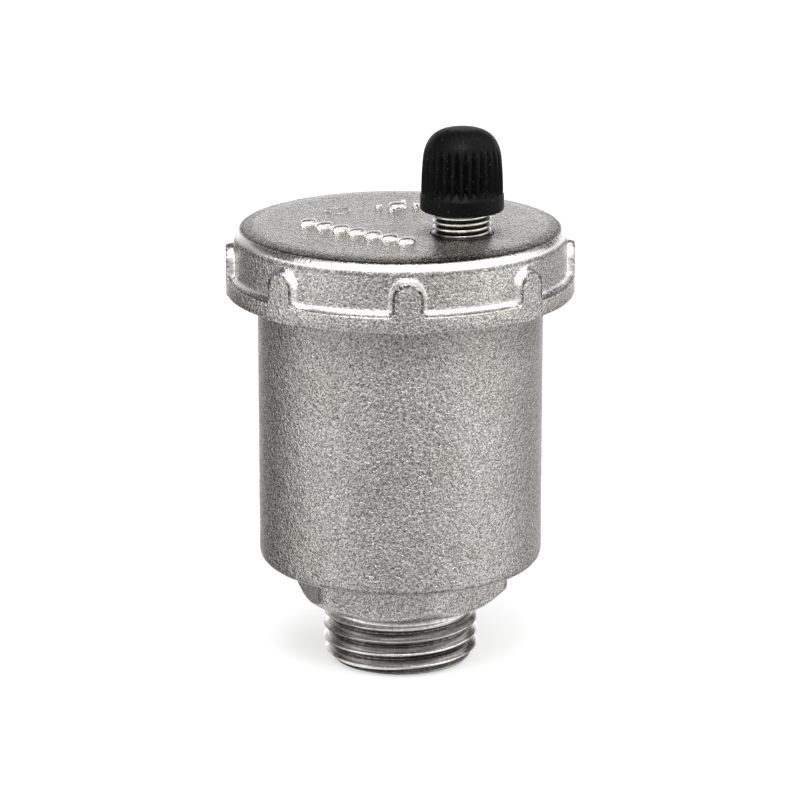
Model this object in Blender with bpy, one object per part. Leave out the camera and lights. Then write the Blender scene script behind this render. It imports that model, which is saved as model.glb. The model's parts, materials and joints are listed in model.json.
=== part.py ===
"""Automatic air vent for heating pipework, G 1/2 bottom inlet, built as its separate pieces.

Frame: origin at the centre of the inlet thread's end face, +Z up along the thread and float
chamber, +X toward the discharge nozzle.  The model stands with the float down and the valve open.
Sizes are millimetres; objects are made in metres.  Turned profiles are lists of (radius, z).
"""

import math
from types import SimpleNamespace

import bmesh
import bpy
from mathutils import Matrix, Vector

TO_METRES = 0.001
WELD = 1e-4                    # points closer than this are merged
SHARP_ANGLE = math.radians(35.0)

# ---------------------------------------------------------------- driving dimensions
# inlet thread, G 1/2 (ISO 228)
INLET_MAJOR_R = 20.955 / 2
INLET_MINOR_R = 18.631 / 2
INLET_PITCH = 1.814
INLET_CREST_Z = 1.768          # height of a crest at +X
INLET_CREST_LAND = 0.26        # share of the pitch
INLET_END_R = 9.08
INLET_THREAD_TOP = 7.30
INLET_NECK_R = 9.70
PORT_R = 7.00
PORT_CHAMFER = 0.5

# cast hexagonal collar
COLLAR_BOTTOM = 8.90
COLLAR_FLATS = 26.50
COLLAR_CORNER_R = 15.15
COLLAR_CORNER_ANGLE = math.radians(21.1)     # from +X to the first corner
COLLAR_FACE_R = 10.70          # sealing face of the collar, outside the thread crests
COLLAR_UNDERSIDE_R = COLLAR_FLATS / 2 - 0.05
COLLAR_CHAMFER = math.radians(30)

# float chamber
BODY_SEGMENTS = 48
BODY_R = 19.10
BODY_UNDERSIDE = 14.20
BODY_CORNER_R = 1.50
BODY_SHOULDER = 50.90
BODY_SHOULDER_CHAMFER = 0.3
BODY_INNER_R = 16.90
BODY_INNER_CORNER_R = 1.5
BODY_FLOOR = 17.00
RIM_Z = 57.00

# neck thread between body and lid, M38 x 1.5
NECK_PITCH = 1.50
NECK_CREST_R = 18.90
NECK_ROOT_R = 18.05
NECK_CREST_Z = 52.60
LID_THREAD_GAP = 0.20

# lid
LID_BOTTOM = 51.24
LID_TOP = 60.46
LID_BAND_R = 23.30
LID_WALL_R = 22.10
LID_EDGE_R = 1.20
LID_LEDGE_LOW = 52.90
LID_LEDGE_HIGH = 54.00
LID_CHAMFER = 0.35
LID_MOUTH = 0.45               # chamfer at the mouth of the lid's thread
LID_PLUG_R = 16.30
LID_PLUG_Z = 57.20
LID_SEAL_ROOF_Z = 58.20
O_RING_R = 17.60
O_RING_SECTION_R = 0.55

# grip pads round the lid
PAD_COUNT = 8
PAD_FIRST_ANGLE = -8.0         # degrees from +X
PAD_WIDTH = 4.60
PAD_BOTTOM = LID_BOTTOM + 0.8
PAD_TOP = 58.10
PAD_FACE_R = 23.15
PAD_ROOT_DEPTH = 1.2           # how far a pad starts inside the lid wall
PAD_TAPER = 0.9                # width of the outer face over that of the root

# discharge nozzle, tyre-valve thread 8V1
NOZZLE_X = 9.85
NOZZLE_MAJOR_R = 3.85
NOZZLE_MINOR_R = 3.42
NOZZLE_PITCH = 0.79375
NOZZLE_CREST_Z = 63.23
NOZZLE_SHANK_R = 2.90
NOZZLE_FLANGE_R = 4.05
NOZZLE_FLANGE_BOTTOM = LID_TOP - 0.04
NOZZLE_TOP = 71.20
NOZZLE_BORE_R = 1.25
SEAT_Z = 56.00
SEAT_STEP = 0.4                # height of the raised seat
ORIFICE_R = 0.60
NOZZLE_HOLE_GAP = 0.06         # between the shank and the lid
WASHER_RECESS_R = 4.40
WASHER_RECESS_DEPTH = 0.56
WASHER_BOTTOM = 59.95
WASHER_TOP = 60.37

# cap
CAP_BOTTOM = 63.70
CAP_TOP = 74.60
CAP_BAND_R = 5.53
CAP_FLUTES = 28
CAP_BORE_R = 3.98
CAP_MOUTH_CHAMFER = 0.4
CAP_ROOF_Z = 72.30
CAP_SEAL_BOTTOM = 71.30
CAP_SEAL_TOP = 72.20

# lever
SWING = math.radians(8.0)      # the lever swings this far each side of level
PIVOT_X = 14.20
PIVOT_Z = 52.505
LINK_ARM = 14.27
VALVE_ARM = 4.37
LINK_Z = PIVOT_Z - LINK_ARM * math.sin(SWING)
LINK_HOLE_R = 1.00
LEVER_HALF_WIDTH = 2.6
LEVER_HALF_HEIGHT = 0.7        # between the rounded bosses
LEVER_BOSSES = ((0.0, 1.9), (-VALVE_ARM, 0.9), (-LINK_ARM, 1.8))   # (x from pivot, radius)

# pins and clips
PIN_R = 0.80
PIN_HOLE_R = 0.86
PIN_HEAD_R = 1.35
PIN_HEAD_GAP = 0.06            # from the outside of the cheek
PIN_GROOVE_GAP = 0.10          # likewise
PIN_GROOVE_R = 0.60
PIN_GROOVE_WIDTH = 0.4
CLIP_OUTER_R = 1.55
CLIP_INNER_R = 0.66
CLIP_THICKNESS = 0.28
CLIP_OPENING = math.radians(70)
CLIP_STEPS = 16

# bracket under the lid
CHEEK_IN = 3.10
CHEEK_OUT = 3.90
TAB_TOP = LID_PLUG_Z - 0.05
TAB_BOTTOM = TAB_TOP - 0.80
TAB_REACH = 9.3                # end of each tab in Y
GUIDE_TOP = 47.40
GUIDE_BOTTOM = 46.60
GUIDE_HOLE_R = 1.02
SCREW_X = 10.05
SCREW_Y = 6.70
SCREW_HEAD_H = 1.10
SCREW_HEAD_GAP = 0.05
TAB_HOLE_R = 1.15
LID_SCREW_HOLE_R = 1.10
LID_SCREW_HOLE_DEPTH = 2.3

# valve
HOLDER_BOTTOM = 45.20
SPRING_FLANGE_BOTTOM = 50.30
PAD_SEAT_Z = 53.30
SPRING_R = 1.55
SPRING_WIRE_R = 0.20
SPRING_TURNS = 4
SPRING_STEPS = 12              # points per turn
SPRING_END_GAP = 0.03

# float
FLOAT_SEGMENTS = 28
FLOAT_R = 14.60
FLOAT_BOTTOM = 19.00
FLOAT_JOINT = 39.80
FLOAT_JOINT_GAP = 0.05
FLOAT_TOP = 40.80
FLOAT_CORNER_R = 2
FLOAT_WALL = 1.1
FLOAT_INNER_CORNER_R = 1.1

# hanger on top of the float
HANGER_BOTTOM = FLOAT_TOP + 0.10
HANGER_BASE = 0.7              # thickness of the floor
HANGER_HALF_FOOT = 3.0
HANGER_EYE_R = 1.8
HANGER_CHEEK_IN = 1.5
HANGER_CHEEK_OUT = 2.2
HANGER_SCREW_HOLE_R = 0.85
HANGER_SCREW_HEAD_H = 0.90
HANGER_SCREW_HEAD_GAP = 0.10


# ---------------------------------------------------------------- scene helpers

def clear_scene():
    for obj in list(bpy.data.objects):
        bpy.data.objects.remove(obj, do_unlink=True)


def material(name, colour, roughness, metallic):
    made = bpy.data.materials.new(name)
    made.use_nodes = True
    shader = made.node_tree.nodes["Principled BSDF"]
    shader.inputs["Base Color"].default_value = (*colour, 1.0)
    shader.inputs["Roughness"].default_value = roughness
    shader.inputs["Metallic"].default_value = metallic
    made.diffuse_color = (*colour, 1.0)
    return made


def put(obj, location, parent=None, rotation=(0.0, 0.0, 0.0)):
    """Place at a world position in millimetres, whatever the parent."""
    where = Vector(location) * TO_METRES
    ancestor = parent
    while ancestor is not None:
        where -= ancestor.location
        ancestor = ancestor.parent
    obj.parent = parent
    obj.location = where
    obj.rotation_euler = rotation


def empty(name, location, parent=None):
    obj = bpy.data.objects.new(name, None)
    obj.empty_display_size = 0.004
    bpy.context.collection.objects.link(obj)
    put(obj, location, parent)
    return obj


def to_object(name, shape):
    """Weld, turn the faces outward and make the object."""
    bmesh.ops.remove_doubles(shape, verts=shape.verts, dist=WELD)
    bmesh.ops.dissolve_degenerate(shape, edges=shape.edges, dist=WELD)
    bmesh.ops.recalc_face_normals(shape, faces=shape.faces)
    bmesh.ops.scale(shape, vec=(TO_METRES,) * 3, verts=shape.verts)
    mesh = bpy.data.meshes.new(name)
    shape.to_mesh(mesh)
    shape.free()
    mesh.shade_smooth()
    mesh.set_sharp_from_angle(angle=SHARP_ANGLE)
    obj = bpy.data.objects.new(name, mesh)
    bpy.context.collection.objects.link(obj)
    return obj


def piece(name, shape, surface, location, parent=None, rotation=(0.0, 0.0, 0.0)):
    """Placed object from a shape drawn in millimetres from location."""
    obj = to_object(name, shape)
    obj.data.materials.append(surface)
    put(obj, location, parent, rotation)
    return obj


def combine(obj, name, shape, operation="DIFFERENCE"):
    """Cut a hidden helper out of obj, or join it on. It is drawn in the frame of obj."""
    tool = to_object(name, shape)
    tool.parent = obj.parent
    tool.location = obj.location
    tool.rotation_euler = obj.rotation_euler
    tool.hide_render = True
    tool.display_type = "WIRE"
    modifier = obj.modifiers.new(name, "BOOLEAN")
    modifier.operation = operation
    modifier.solver = "EXACT"
    modifier.object = tool


# ---------------------------------------------------------------- turned shapes

def revolve(rows, segments, start=0.0):
    """Turned solid. Each row is (radius, z) or a function of the angle that gives them.

    A row of radius 0 is a point on the axis. A profile with no such point closes on itself.
    Rows of a thread climb one pitch per turn, so at the seam each meets the one a pitch above.
    """
    shape = bmesh.new()
    rings = []
    for row in rows:
        if not callable(row) and row[0] == 0:
            rings.append([shape.verts.new((0.0, 0.0, row[1]))] * segments)
            continue
        ring = []
        for i in range(segments):
            angle = start + 2 * math.pi * i / segments
            radius, z = row(angle) if callable(row) else row
            ring.append(shape.verts.new((radius * math.cos(angle), radius * math.sin(angle), z)))
        rings.append(ring)
    seam_rings = [rings[n + getattr(row, "climb", 0)] for n, row in enumerate(rows)]

    count = len(rings)
    on_axis = rings[0][0] is rings[0][1]
    for n in range(count - 1 if on_axis else count):
        m = (n + 1) % count
        for i in range(segments):
            j = (i + 1) % segments
            ahead = rings if j else seam_rings
            corners = []
            for vert in (rings[n][i], ahead[n][j], ahead[m][j], rings[m][i]):
                if vert not in corners:
                    corners.append(vert)
            if len(corners) > 2:
                shape.faces.new(corners)
    return shape


def shifted(row, rise):
    """The same profile row raised by rise, with its climb if it belongs to a thread."""
    if not callable(row):
        return row[0], row[1] + rise

    def moved(angle):
        radius, z = row(angle)
        return radius, z + rise
    moved.climb = getattr(row, "climb", 0)
    return moved


def turned(name, rows, segments, surface, location, parent=None, start=0.0):
    """Turned piece from a profile in world heights, with its origin at location."""
    rows = [shifted(row, -location[2]) for row in rows]
    return piece(name, revolve(rows, segments, start), surface, location, parent)


def arc(centre_r, centre_z, radius, first, last, steps):
    """Points of a circular arc in the profile plane, angles in degrees from +radius."""
    points = []
    for i in range(steps + 1):
        angle = math.radians(first + (last - first) * i / steps)
        points.append((centre_r + radius * math.cos(angle), centre_z + radius * math.sin(angle)))
    return points


def thread_rows(pitch, crest_z, crest_r, root_r, low, high, crest_land=0.0, limit=None):
    """Rows of a right-hand helical thread between two heights.

    crest_land is the share of the pitch that stays at the crest radius. limit(z) caps the radius,
    which is how the lead-in chamfer is cut.
    """
    half_land = crest_land / 2

    def radius_at(z, angle):
        phase = ((z - crest_z - pitch * angle / (2 * math.pi)) / pitch + 0.5) % 1.0 - 0.5
        depth = max(0.0, abs(phase) - half_land) / (0.5 - half_land)
        radius = crest_r + (root_r - crest_r) * depth
        return min(radius, limit(z)) if limit else radius

    def make_row(turns):
        def row(angle):
            z = crest_z + pitch * (turns + angle / (2 * math.pi))
            z = min(max(z, low), high)
            return radius_at(z, angle), z
        return row

    offsets = [-0.5, -half_land, half_land] if crest_land else [-0.5, 0.0]
    first = math.floor((low - crest_z) / pitch) - 2
    last = math.ceil((high - crest_z) / pitch) + 1
    rows = [make_row(k + offset) for k in range(first, last + 1) for offset in offsets]
    for n, row in enumerate(rows):
        row.climb = min(len(offsets), len(rows) - 1 - n)
    return rows


# ---------------------------------------------------------------- straight shapes

def extrude(shape, points, offset):
    """Prism from a flat outline. Returns its first and its moved vertices."""
    near = [shape.verts.new(point) for point in points]
    face = shape.faces.new(near)
    made = bmesh.ops.extrude_face_region(shape, geom=[face])
    far = [item for item in made["geom"] if isinstance(item, bmesh.types.BMVert)]
    bmesh.ops.translate(shape, vec=offset, verts=far)
    return near, far


def prism_xz(outline, half_width):
    """Outline in the XZ plane, extruded along Y to both sides."""
    shape = bmesh.new()
    points = [(x, -half_width, z) for x, z in outline]
    extrude(shape, points, (0.0, 2 * half_width, 0.0))
    return shape


def box(shape, x0, x1, y0, y1, z0, z1):
    verts = bmesh.ops.create_cube(shape, size=1.0)["verts"]
    centre = ((x0 + x1) / 2, (y0 + y1) / 2, (z0 + z1) / 2)
    bmesh.ops.scale(shape, vec=(x1 - x0, y1 - y0, z1 - z0), verts=verts)
    bmesh.ops.translate(shape, vec=centre, verts=verts)
    return shape


def box_pair(shape, x0, x1, inner_y, outer_y, z0, z1):
    """Two boxes mirrored across Y = 0."""
    box(shape, x0, x1, -outer_y, -inner_y, z0, z1)
    box(shape, x0, x1, inner_y, outer_y, z0, z1)


def rod(shape, radius, start, end, segments):
    """Plain round bar between two points."""
    start, end = Vector(start), Vector(end)
    turn = (end - start).to_track_quat("Z", "Y").to_matrix().to_4x4()
    bmesh.ops.create_cone(shape, cap_ends=True, segments=segments, radius1=radius, radius2=radius,
                          depth=(end - start).length,
                          matrix=Matrix.Translation((start + end) / 2) @ turn)
    return shape


def rod_z(shape, radius, x, y, low, high, segments):
    return rod(shape, radius, (x, y, low), (x, y, high), segments)


def rod_y(shape, radius, x, z, reach=6):
    return rod(shape, radius, (x, -reach, z), (x, reach, z), 20)


# ---------------------------------------------------------------- body and lid

def hex_radius(angle):
    """Radius of the collar's outline, with its corners rounded off."""
    sixth = math.pi / 3
    from_flat = (angle - COLLAR_CORNER_ANGLE) % sixth - sixth / 2
    return min(COLLAR_FLATS / 2 / math.cos(from_flat), COLLAR_CORNER_R)


def collar_low(angle):
    """Chamfered lower edge of the collar."""
    radius = hex_radius(angle)
    return radius, COLLAR_BOTTOM + (radius - COLLAR_UNDERSIDE_R) * math.tan(COLLAR_CHAMFER)


def collar_high(angle):
    return hex_radius(angle), BODY_UNDERSIDE


def make_body(surface):
    # inlet
    rows = [(PORT_R, PORT_CHAMFER), (PORT_R + PORT_CHAMFER, 0.0), (INLET_END_R, 0.0)]
    rows += thread_rows(INLET_PITCH, INLET_CREST_Z, INLET_MAJOR_R, INLET_MINOR_R, 0.0,
                        INLET_THREAD_TOP, INLET_CREST_LAND, lambda z: INLET_END_R + 0.9 * z)
    rows += [(INLET_NECK_R, INLET_THREAD_TOP + 0.35), (INLET_NECK_R, COLLAR_BOTTOM - 0.25),
             (INLET_NECK_R + 0.25, COLLAR_BOTTOM + 0.10), (COLLAR_FACE_R, COLLAR_BOTTOM),
             (COLLAR_UNDERSIDE_R, COLLAR_BOTTOM), collar_low, collar_high]
    # outside of the chamber, up to the rim
    rows += arc(BODY_R - BODY_CORNER_R, BODY_UNDERSIDE + BODY_CORNER_R, BODY_CORNER_R, -90, 0, 4)
    rows += [(BODY_R, BODY_SHOULDER - BODY_SHOULDER_CHAMFER),
             (BODY_R - BODY_SHOULDER_CHAMFER, BODY_SHOULDER), (NECK_ROOT_R, BODY_SHOULDER)]
    rows += thread_rows(NECK_PITCH, NECK_CREST_Z, NECK_CREST_R, NECK_ROOT_R, BODY_SHOULDER + 0.5,
                        RIM_Z, limit=lambda z: NECK_ROOT_R + 0.05 + (RIM_Z - z))
    # inside, down to the port
    rows += [(BODY_INNER_R, RIM_Z), (BODY_INNER_R, BODY_FLOOR + BODY_INNER_CORNER_R)]
    rows += arc(BODY_INNER_R - BODY_INNER_CORNER_R, BODY_FLOOR + BODY_INNER_CORNER_R,
                BODY_INNER_CORNER_R, 0, -90, 3)[1:]
    rows += [(PORT_R, BODY_FLOOR)]
    turned("body", rows, BODY_SEGMENTS, surface, (0, 0, 0), start=COLLAR_CORNER_ANGLE)


def lid_pads():
    """Grip pads: flat faces with an arched top that stand up from the band."""
    shape = bmesh.new()
    half = PAD_WIDTH / 2
    root_r = LID_WALL_R - PAD_ROOT_DEPTH
    outline = [(-half, PAD_BOTTOM), (half, PAD_BOTTOM)] + arc(0, PAD_TOP - half, half, 0, 180, 6)
    points = [(root_r, y, z - LID_BOTTOM) for y, z in outline]
    for i in range(PAD_COUNT):
        near, far = extrude(shape, points, (PAD_FACE_R - root_r, 0, 0))
        for vert in far:
            vert.co.y *= PAD_TAPER
        angle = math.radians(PAD_FIRST_ANGLE + 360 / PAD_COUNT * i)
        bmesh.ops.rotate(shape, cent=(0, 0, 0), verts=near + far,
                         matrix=Matrix.Rotation(angle, 3, "Z"))
    return shape


def make_lid(surface, parent):
    crest = NECK_CREST_R + LID_THREAD_GAP
    root = NECK_ROOT_R + LID_THREAD_GAP
    seal_r = crest + 0.1
    rows = [(0, LID_TOP)]
    rows += arc(LID_WALL_R - LID_EDGE_R, LID_TOP - LID_EDGE_R, LID_EDGE_R, 90, 0, 4)
    rows += [(LID_WALL_R, LID_LEDGE_HIGH), (LID_WALL_R + 0.25, LID_LEDGE_HIGH - 0.45),
             (LID_BAND_R - 0.35, LID_LEDGE_LOW + 0.25), (LID_BAND_R, LID_LEDGE_LOW - 0.15),
             (LID_BAND_R, LID_BOTTOM + LID_CHAMFER), (LID_BAND_R - LID_CHAMFER, LID_BOTTOM),
             (crest + LID_MOUTH, LID_BOTTOM)]
    rows += thread_rows(NECK_PITCH, NECK_CREST_Z, crest, root, LID_BOTTOM + LID_MOUTH, RIM_Z - 0.3)
    rows += [(seal_r, RIM_Z), (seal_r, LID_SEAL_ROOF_Z), (LID_PLUG_R, LID_SEAL_ROOF_Z),
             (LID_PLUG_R, LID_PLUG_Z), (0, LID_PLUG_Z)]
    lid = turned("lid", rows, BODY_SEGMENTS, surface, (0, 0, LID_BOTTOM), parent)
    combine(lid, "lid_pads", lid_pads(), "UNION")

    plug, above = LID_PLUG_Z - 1 - LID_BOTTOM, LID_TOP + 1 - LID_BOTTOM
    bore = rod_z(bmesh.new(), NOZZLE_SHANK_R + NOZZLE_HOLE_GAP, NOZZLE_X, 0, plug, above, 24)
    combine(lid, "lid_nozzle_bore", bore)
    recess = rod_z(bmesh.new(), WASHER_RECESS_R, NOZZLE_X, 0,
                   LID_TOP - WASHER_RECESS_DEPTH - LID_BOTTOM, above, 24)
    combine(lid, "lid_washer_recess", recess)
    holes = bmesh.new()
    for side in (-1, 1):
        rod_z(holes, LID_SCREW_HOLE_R, SCREW_X, side * SCREW_Y, plug,
              LID_PLUG_Z + LID_SCREW_HOLE_DEPTH - LID_BOTTOM, 16)
    combine(lid, "lid_screw_holes", holes)


def make_o_ring(surface, parent):
    z = (RIM_Z + LID_SEAL_ROOF_Z) / 2
    turned("lid_o_ring", arc(O_RING_R, z, O_RING_SECTION_R, 0, 300, 5), 36, surface, (0, 0, z),
           parent)


# ---------------------------------------------------------------- nozzle and cap

def make_nozzle(surface, parent):
    step_z = SEAT_Z + SEAT_STEP
    rows = [(ORIFICE_R, SEAT_Z), (1.30, SEAT_Z), (1.60, step_z), (NOZZLE_SHANK_R - 0.3, step_z),
            (NOZZLE_SHANK_R, SEAT_Z + 0.7), (NOZZLE_SHANK_R, NOZZLE_FLANGE_BOTTOM),
            (NOZZLE_FLANGE_R, NOZZLE_FLANGE_BOTTOM), (NOZZLE_FLANGE_R, LID_TOP + 0.12)]
    rows += thread_rows(NOZZLE_PITCH, NOZZLE_CREST_Z, NOZZLE_MAJOR_R, NOZZLE_MINOR_R,
                        LID_TOP + 0.16, NOZZLE_TOP,
                        limit=lambda z: 3.15 + 1.2 * (NOZZLE_TOP - z))
    rows += [(1.60, NOZZLE_TOP), (NOZZLE_BORE_R, NOZZLE_TOP - 0.4), (NOZZLE_BORE_R, 58.6),
             (ORIFICE_R, 57.9)]
    turned("vent_nozzle", rows, 20, surface, (NOZZLE_X, 0, LID_TOP), parent)


def make_nozzle_seal(surface, parent):
    inner, outer = 3.02, 4.20
    rows = [(inner, WASHER_BOTTOM), (outer, WASHER_BOTTOM), (outer, WASHER_TOP),
            (inner, WASHER_TOP)]
    turned("nozzle_seal", rows, 20, surface, (NOZZLE_X, 0, WASHER_BOTTOM), parent)


def make_cap_seal(surface, parent):
    low, high = CAP_SEAL_BOTTOM, CAP_SEAL_TOP
    rows = [(0, low), (3.5, low), (3.7, low + 0.2), (3.7, high - 0.2), (3.5, high), (0, high)]
    turned("cap_seal", rows, 20, surface, (NOZZLE_X, 0, low), parent)


def make_cap(surface, parent):
    def fluted(crest, groove, z):
        def row(angle):
            i = round(angle / (2 * math.pi) * CAP_FLUTES * 2)
            return (crest if i % 2 == 0 else groove), z
        return row

    rows = [(0, CAP_TOP), (1.9, CAP_TOP - 0.10), (3.4, CAP_TOP - 0.60), (4.45, CAP_TOP - 1.45),
            (5.0, CAP_TOP - 2.4), (5.14, CAP_TOP - 3.0),
            fluted(5.16, 4.92, CAP_TOP - 3.4), fluted(5.30, 5.02, CAP_BOTTOM + 2.7),
            (5.42, CAP_BOTTOM + 2.15), (CAP_BAND_R, CAP_BOTTOM + 1.9),
            (CAP_BAND_R, CAP_BOTTOM + 0.25), (CAP_BAND_R - 0.25, CAP_BOTTOM),
            (CAP_BORE_R + CAP_MOUTH_CHAMFER, CAP_BOTTOM),
            (CAP_BORE_R, CAP_BOTTOM + CAP_MOUTH_CHAMFER), (CAP_BORE_R, CAP_ROOF_Z),
            (0, CAP_ROOF_Z)]
    turned("vent_cap", rows, CAP_FLUTES * 2, surface, (NOZZLE_X, 0, CAP_BOTTOM), parent)


# ---------------------------------------------------------------- bracket, lever and fixings

def make_bracket(surface, parent):
    # side view, (x, z)
    outline = [(6.8, TAB_TOP), (6.8, 50.6), (7.6, GUIDE_BOTTOM), (12.1, GUIDE_BOTTOM),
               (12.7, 49.6), (15.0, 50.3), (15.9, 51.3), (15.9, TAB_TOP)]
    base = Vector((SCREW_X, 0, TAB_TOP))
    local = [(x - base.x, z - base.z) for x, z in outline]
    bracket = piece("lever_bracket", prism_xz(local, CHEEK_OUT), surface, base, parent)
    channel = box(bmesh.new(), -10, 10, -CHEEK_IN, CHEEK_IN, GUIDE_TOP - base.z, 4)
    combine(bracket, "bracket_channel", channel)
    tabs = bmesh.new()
    box_pair(tabs, 7.5 - base.x, 12.6 - base.x, CHEEK_OUT - 0.4, TAB_REACH, TAB_BOTTOM - base.z, 0)
    combine(bracket, "bracket_tabs", tabs, "UNION")
    holes = bmesh.new()
    for side in (-1, 1):
        rod_z(holes, TAB_HOLE_R, 0, side * SCREW_Y, -2, 2, 16)
    rod_z(holes, GUIDE_HOLE_R, NOZZLE_X - base.x, 0, GUIDE_BOTTOM - 1 - base.z,
          GUIDE_TOP + 1 - base.z, 20)
    rod_y(holes, PIN_HOLE_R, PIVOT_X - base.x, PIVOT_Z - base.z)
    combine(bracket, "bracket_holes", holes)


def make_screw(name, where, tip_z, head_r, head_h, shank_r, surface, parent):
    """Slotted cheese-head screw, where being the centre of the slotted face."""
    length = abs(tip_z - where[2])
    rows = [(0, 0.0), (head_r - 0.25, 0.0), (head_r, 0.3), (head_r, head_h), (shank_r, head_h),
            (shank_r, length - 0.3), (shank_r - 0.3, length), (0, length)]
    turn = (0.0 if tip_z > where[2] else math.pi, 0.0, 0.0)
    screw = piece(name, revolve(rows, 12), surface, where, parent, turn)
    combine(screw, name + "_slot", box(bmesh.new(), -0.2, 0.2, -3, 3, -1, 0.45))


def make_bracket_screws(surface, parent):
    head_z = TAB_BOTTOM - SCREW_HEAD_H - SCREW_HEAD_GAP
    for name, side in (("bracket_screw_1", 1), ("bracket_screw_2", -1)):
        make_screw(name, (SCREW_X, side * SCREW_Y, head_z), tip_z=59.3, head_r=1.9,
                   head_h=SCREW_HEAD_H, shank_r=1.0, surface=surface, parent=parent)


def lever_half_height(x):
    height = LEVER_HALF_HEIGHT
    for centre, radius in LEVER_BOSSES:
        if abs(x - centre) < radius:
            height = max(height, math.sqrt(radius * radius - (x - centre) ** 2))
    return height


def make_lever(surface, parent):
    stations = set()
    for centre, radius in LEVER_BOSSES:
        reach = math.sqrt(radius ** 2 - LEVER_HALF_HEIGHT ** 2)
        stations |= {centre + reach * i / 3 for i in range(-3, 4)}
    top = [(x, lever_half_height(x)) for x in sorted(stations)]
    right = LEVER_BOSSES[0][1]
    left = LEVER_BOSSES[-1][0] - LEVER_BOSSES[-1][1]
    outline = [(left, 0.0)] + top + [(right, 0.0)] + [(x, -height) for x, height in reversed(top)]
    lever = piece("lever", prism_xz(outline, LEVER_HALF_WIDTH), surface, (PIVOT_X, 0, PIVOT_Z),
                  parent, (0.0, -SWING, 0.0))
    # fork at the pivot end, narrow tongue at the link end
    fork = box(bmesh.new(), -7.2, 4, -1.4, 1.4, -4, 4)
    box_pair(fork, -20, -8.4, 1.3, 4, -4, 4)
    combine(lever, "lever_fork", fork)
    holes = rod_y(bmesh.new(), PIN_HOLE_R, 0, 0)
    rod_y(holes, LINK_HOLE_R, -LINK_ARM, 0)
    combine(lever, "lever_pin_holes", holes)


def clip_ring(low):
    """Open retaining ring: a rectangle swept round most of a circle and capped at both ends."""
    shape = bmesh.new()
    high = low + CLIP_THICKNESS
    section = ((CLIP_INNER_R, low), (CLIP_OUTER_R, low), (CLIP_OUTER_R, high),
               (CLIP_INNER_R, high))
    rings = []
    for i in range(CLIP_STEPS + 1):
        angle = CLIP_OPENING / 2 + (2 * math.pi - CLIP_OPENING) * i / CLIP_STEPS
        rings.append([shape.verts.new((radius * math.cos(angle), radius * math.sin(angle), z))
                      for radius, z in section])
    for one, two in zip(rings, rings[1:]):
        for i in range(4):
            j = (i + 1) % 4
            shape.faces.new((one[i], one[j], two[j], two[i]))
    shape.faces.new(rings[0])
    shape.faces.new(rings[-1])
    return shape


def make_pin_and_clip(names, where, cheek, head_y, end_y, surfaces, parent):
    """Headed pin through cheeks at Y = +-cheek, with its clip. Profile heights run along +Y."""
    face_y = -cheek - PIN_HEAD_GAP
    groove_y = cheek + PIN_GROOVE_GAP
    groove_end = groove_y + PIN_GROOVE_WIDTH
    rows = [(0, head_y), (PIN_HEAD_R - 0.20, head_y), (PIN_HEAD_R, head_y + 0.15),
            (PIN_HEAD_R, face_y), (PIN_R, face_y), (PIN_R, groove_y), (PIN_GROOVE_R, groove_y),
            (PIN_GROOVE_R, groove_end), (PIN_R, groove_end), (PIN_R, end_y - 0.2),
            (PIN_R - 0.2, end_y), (0, end_y)]
    ring = clip_ring(groove_y + (PIN_GROOVE_WIDTH - CLIP_THICKNESS) / 2)
    for name, shape, surface in zip(names, (revolve(rows, 12), ring), surfaces):
        piece(name, shape, surface, where, parent, (-math.pi / 2, 0.0, 0.0))


# ---------------------------------------------------------------- valve

def make_valve_holder(surface, parent):
    rows = [(0, HOLDER_BOTTOM), (0.65, HOLDER_BOTTOM), (0.90, HOLDER_BOTTOM + 0.25),
            (0.90, SPRING_FLANGE_BOTTOM), (2.10, SPRING_FLANGE_BOTTOM), (2.10, 50.85),
            (1.20, 50.85), (1.20, 52.95), (2.40, 52.95), (2.40, 54.50), (2.00, 54.50),
            (2.00, 53.25), (0, 53.25)]
    turned("valve_holder", rows, 16, surface, (NOZZLE_X, 0, HOLDER_BOTTOM), parent)


def make_valve_pad(surface, parent):
    rows = [(0, PAD_SEAT_Z), (1.90, PAD_SEAT_Z), (1.90, 54.60), (1.72, 54.77), (0, 54.77)]
    turned("valve_pad", rows, 16, surface, (NOZZLE_X, 0, PAD_SEAT_Z), parent)


def make_spring(surface, parent):
    low = GUIDE_TOP + SPRING_WIRE_R + SPRING_END_GAP
    high = SPRING_FLANGE_BOTTOM - SPRING_WIRE_R - SPRING_END_GAP
    curve = bpy.data.curves.new("valve_spring", "CURVE")
    curve.dimensions = "3D"
    curve.bevel_depth = SPRING_WIRE_R * TO_METRES
    curve.bevel_resolution = 1
    curve.use_fill_caps = True
    steps = SPRING_TURNS * SPRING_STEPS
    line = curve.splines.new("POLY")
    line.points.add(steps)
    for i, point in enumerate(line.points):
        angle = 2 * math.pi * i / SPRING_STEPS
        # half a turn at each end lies flat
        share = min(max((i - SPRING_STEPS / 2) / (steps - SPRING_STEPS), 0.0), 1.0)
        z = low + (high - low) * share - GUIDE_TOP
        point.co = (SPRING_R * math.cos(angle) * TO_METRES,
                    SPRING_R * math.sin(angle) * TO_METRES, z * TO_METRES, 1)
    curve.materials.append(surface)
    obj = bpy.data.objects.new("valve_spring", curve)
    bpy.context.collection.objects.link(obj)
    put(obj, (NOZZLE_X, 0, GUIDE_TOP), parent)


# ---------------------------------------------------------------- float

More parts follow.
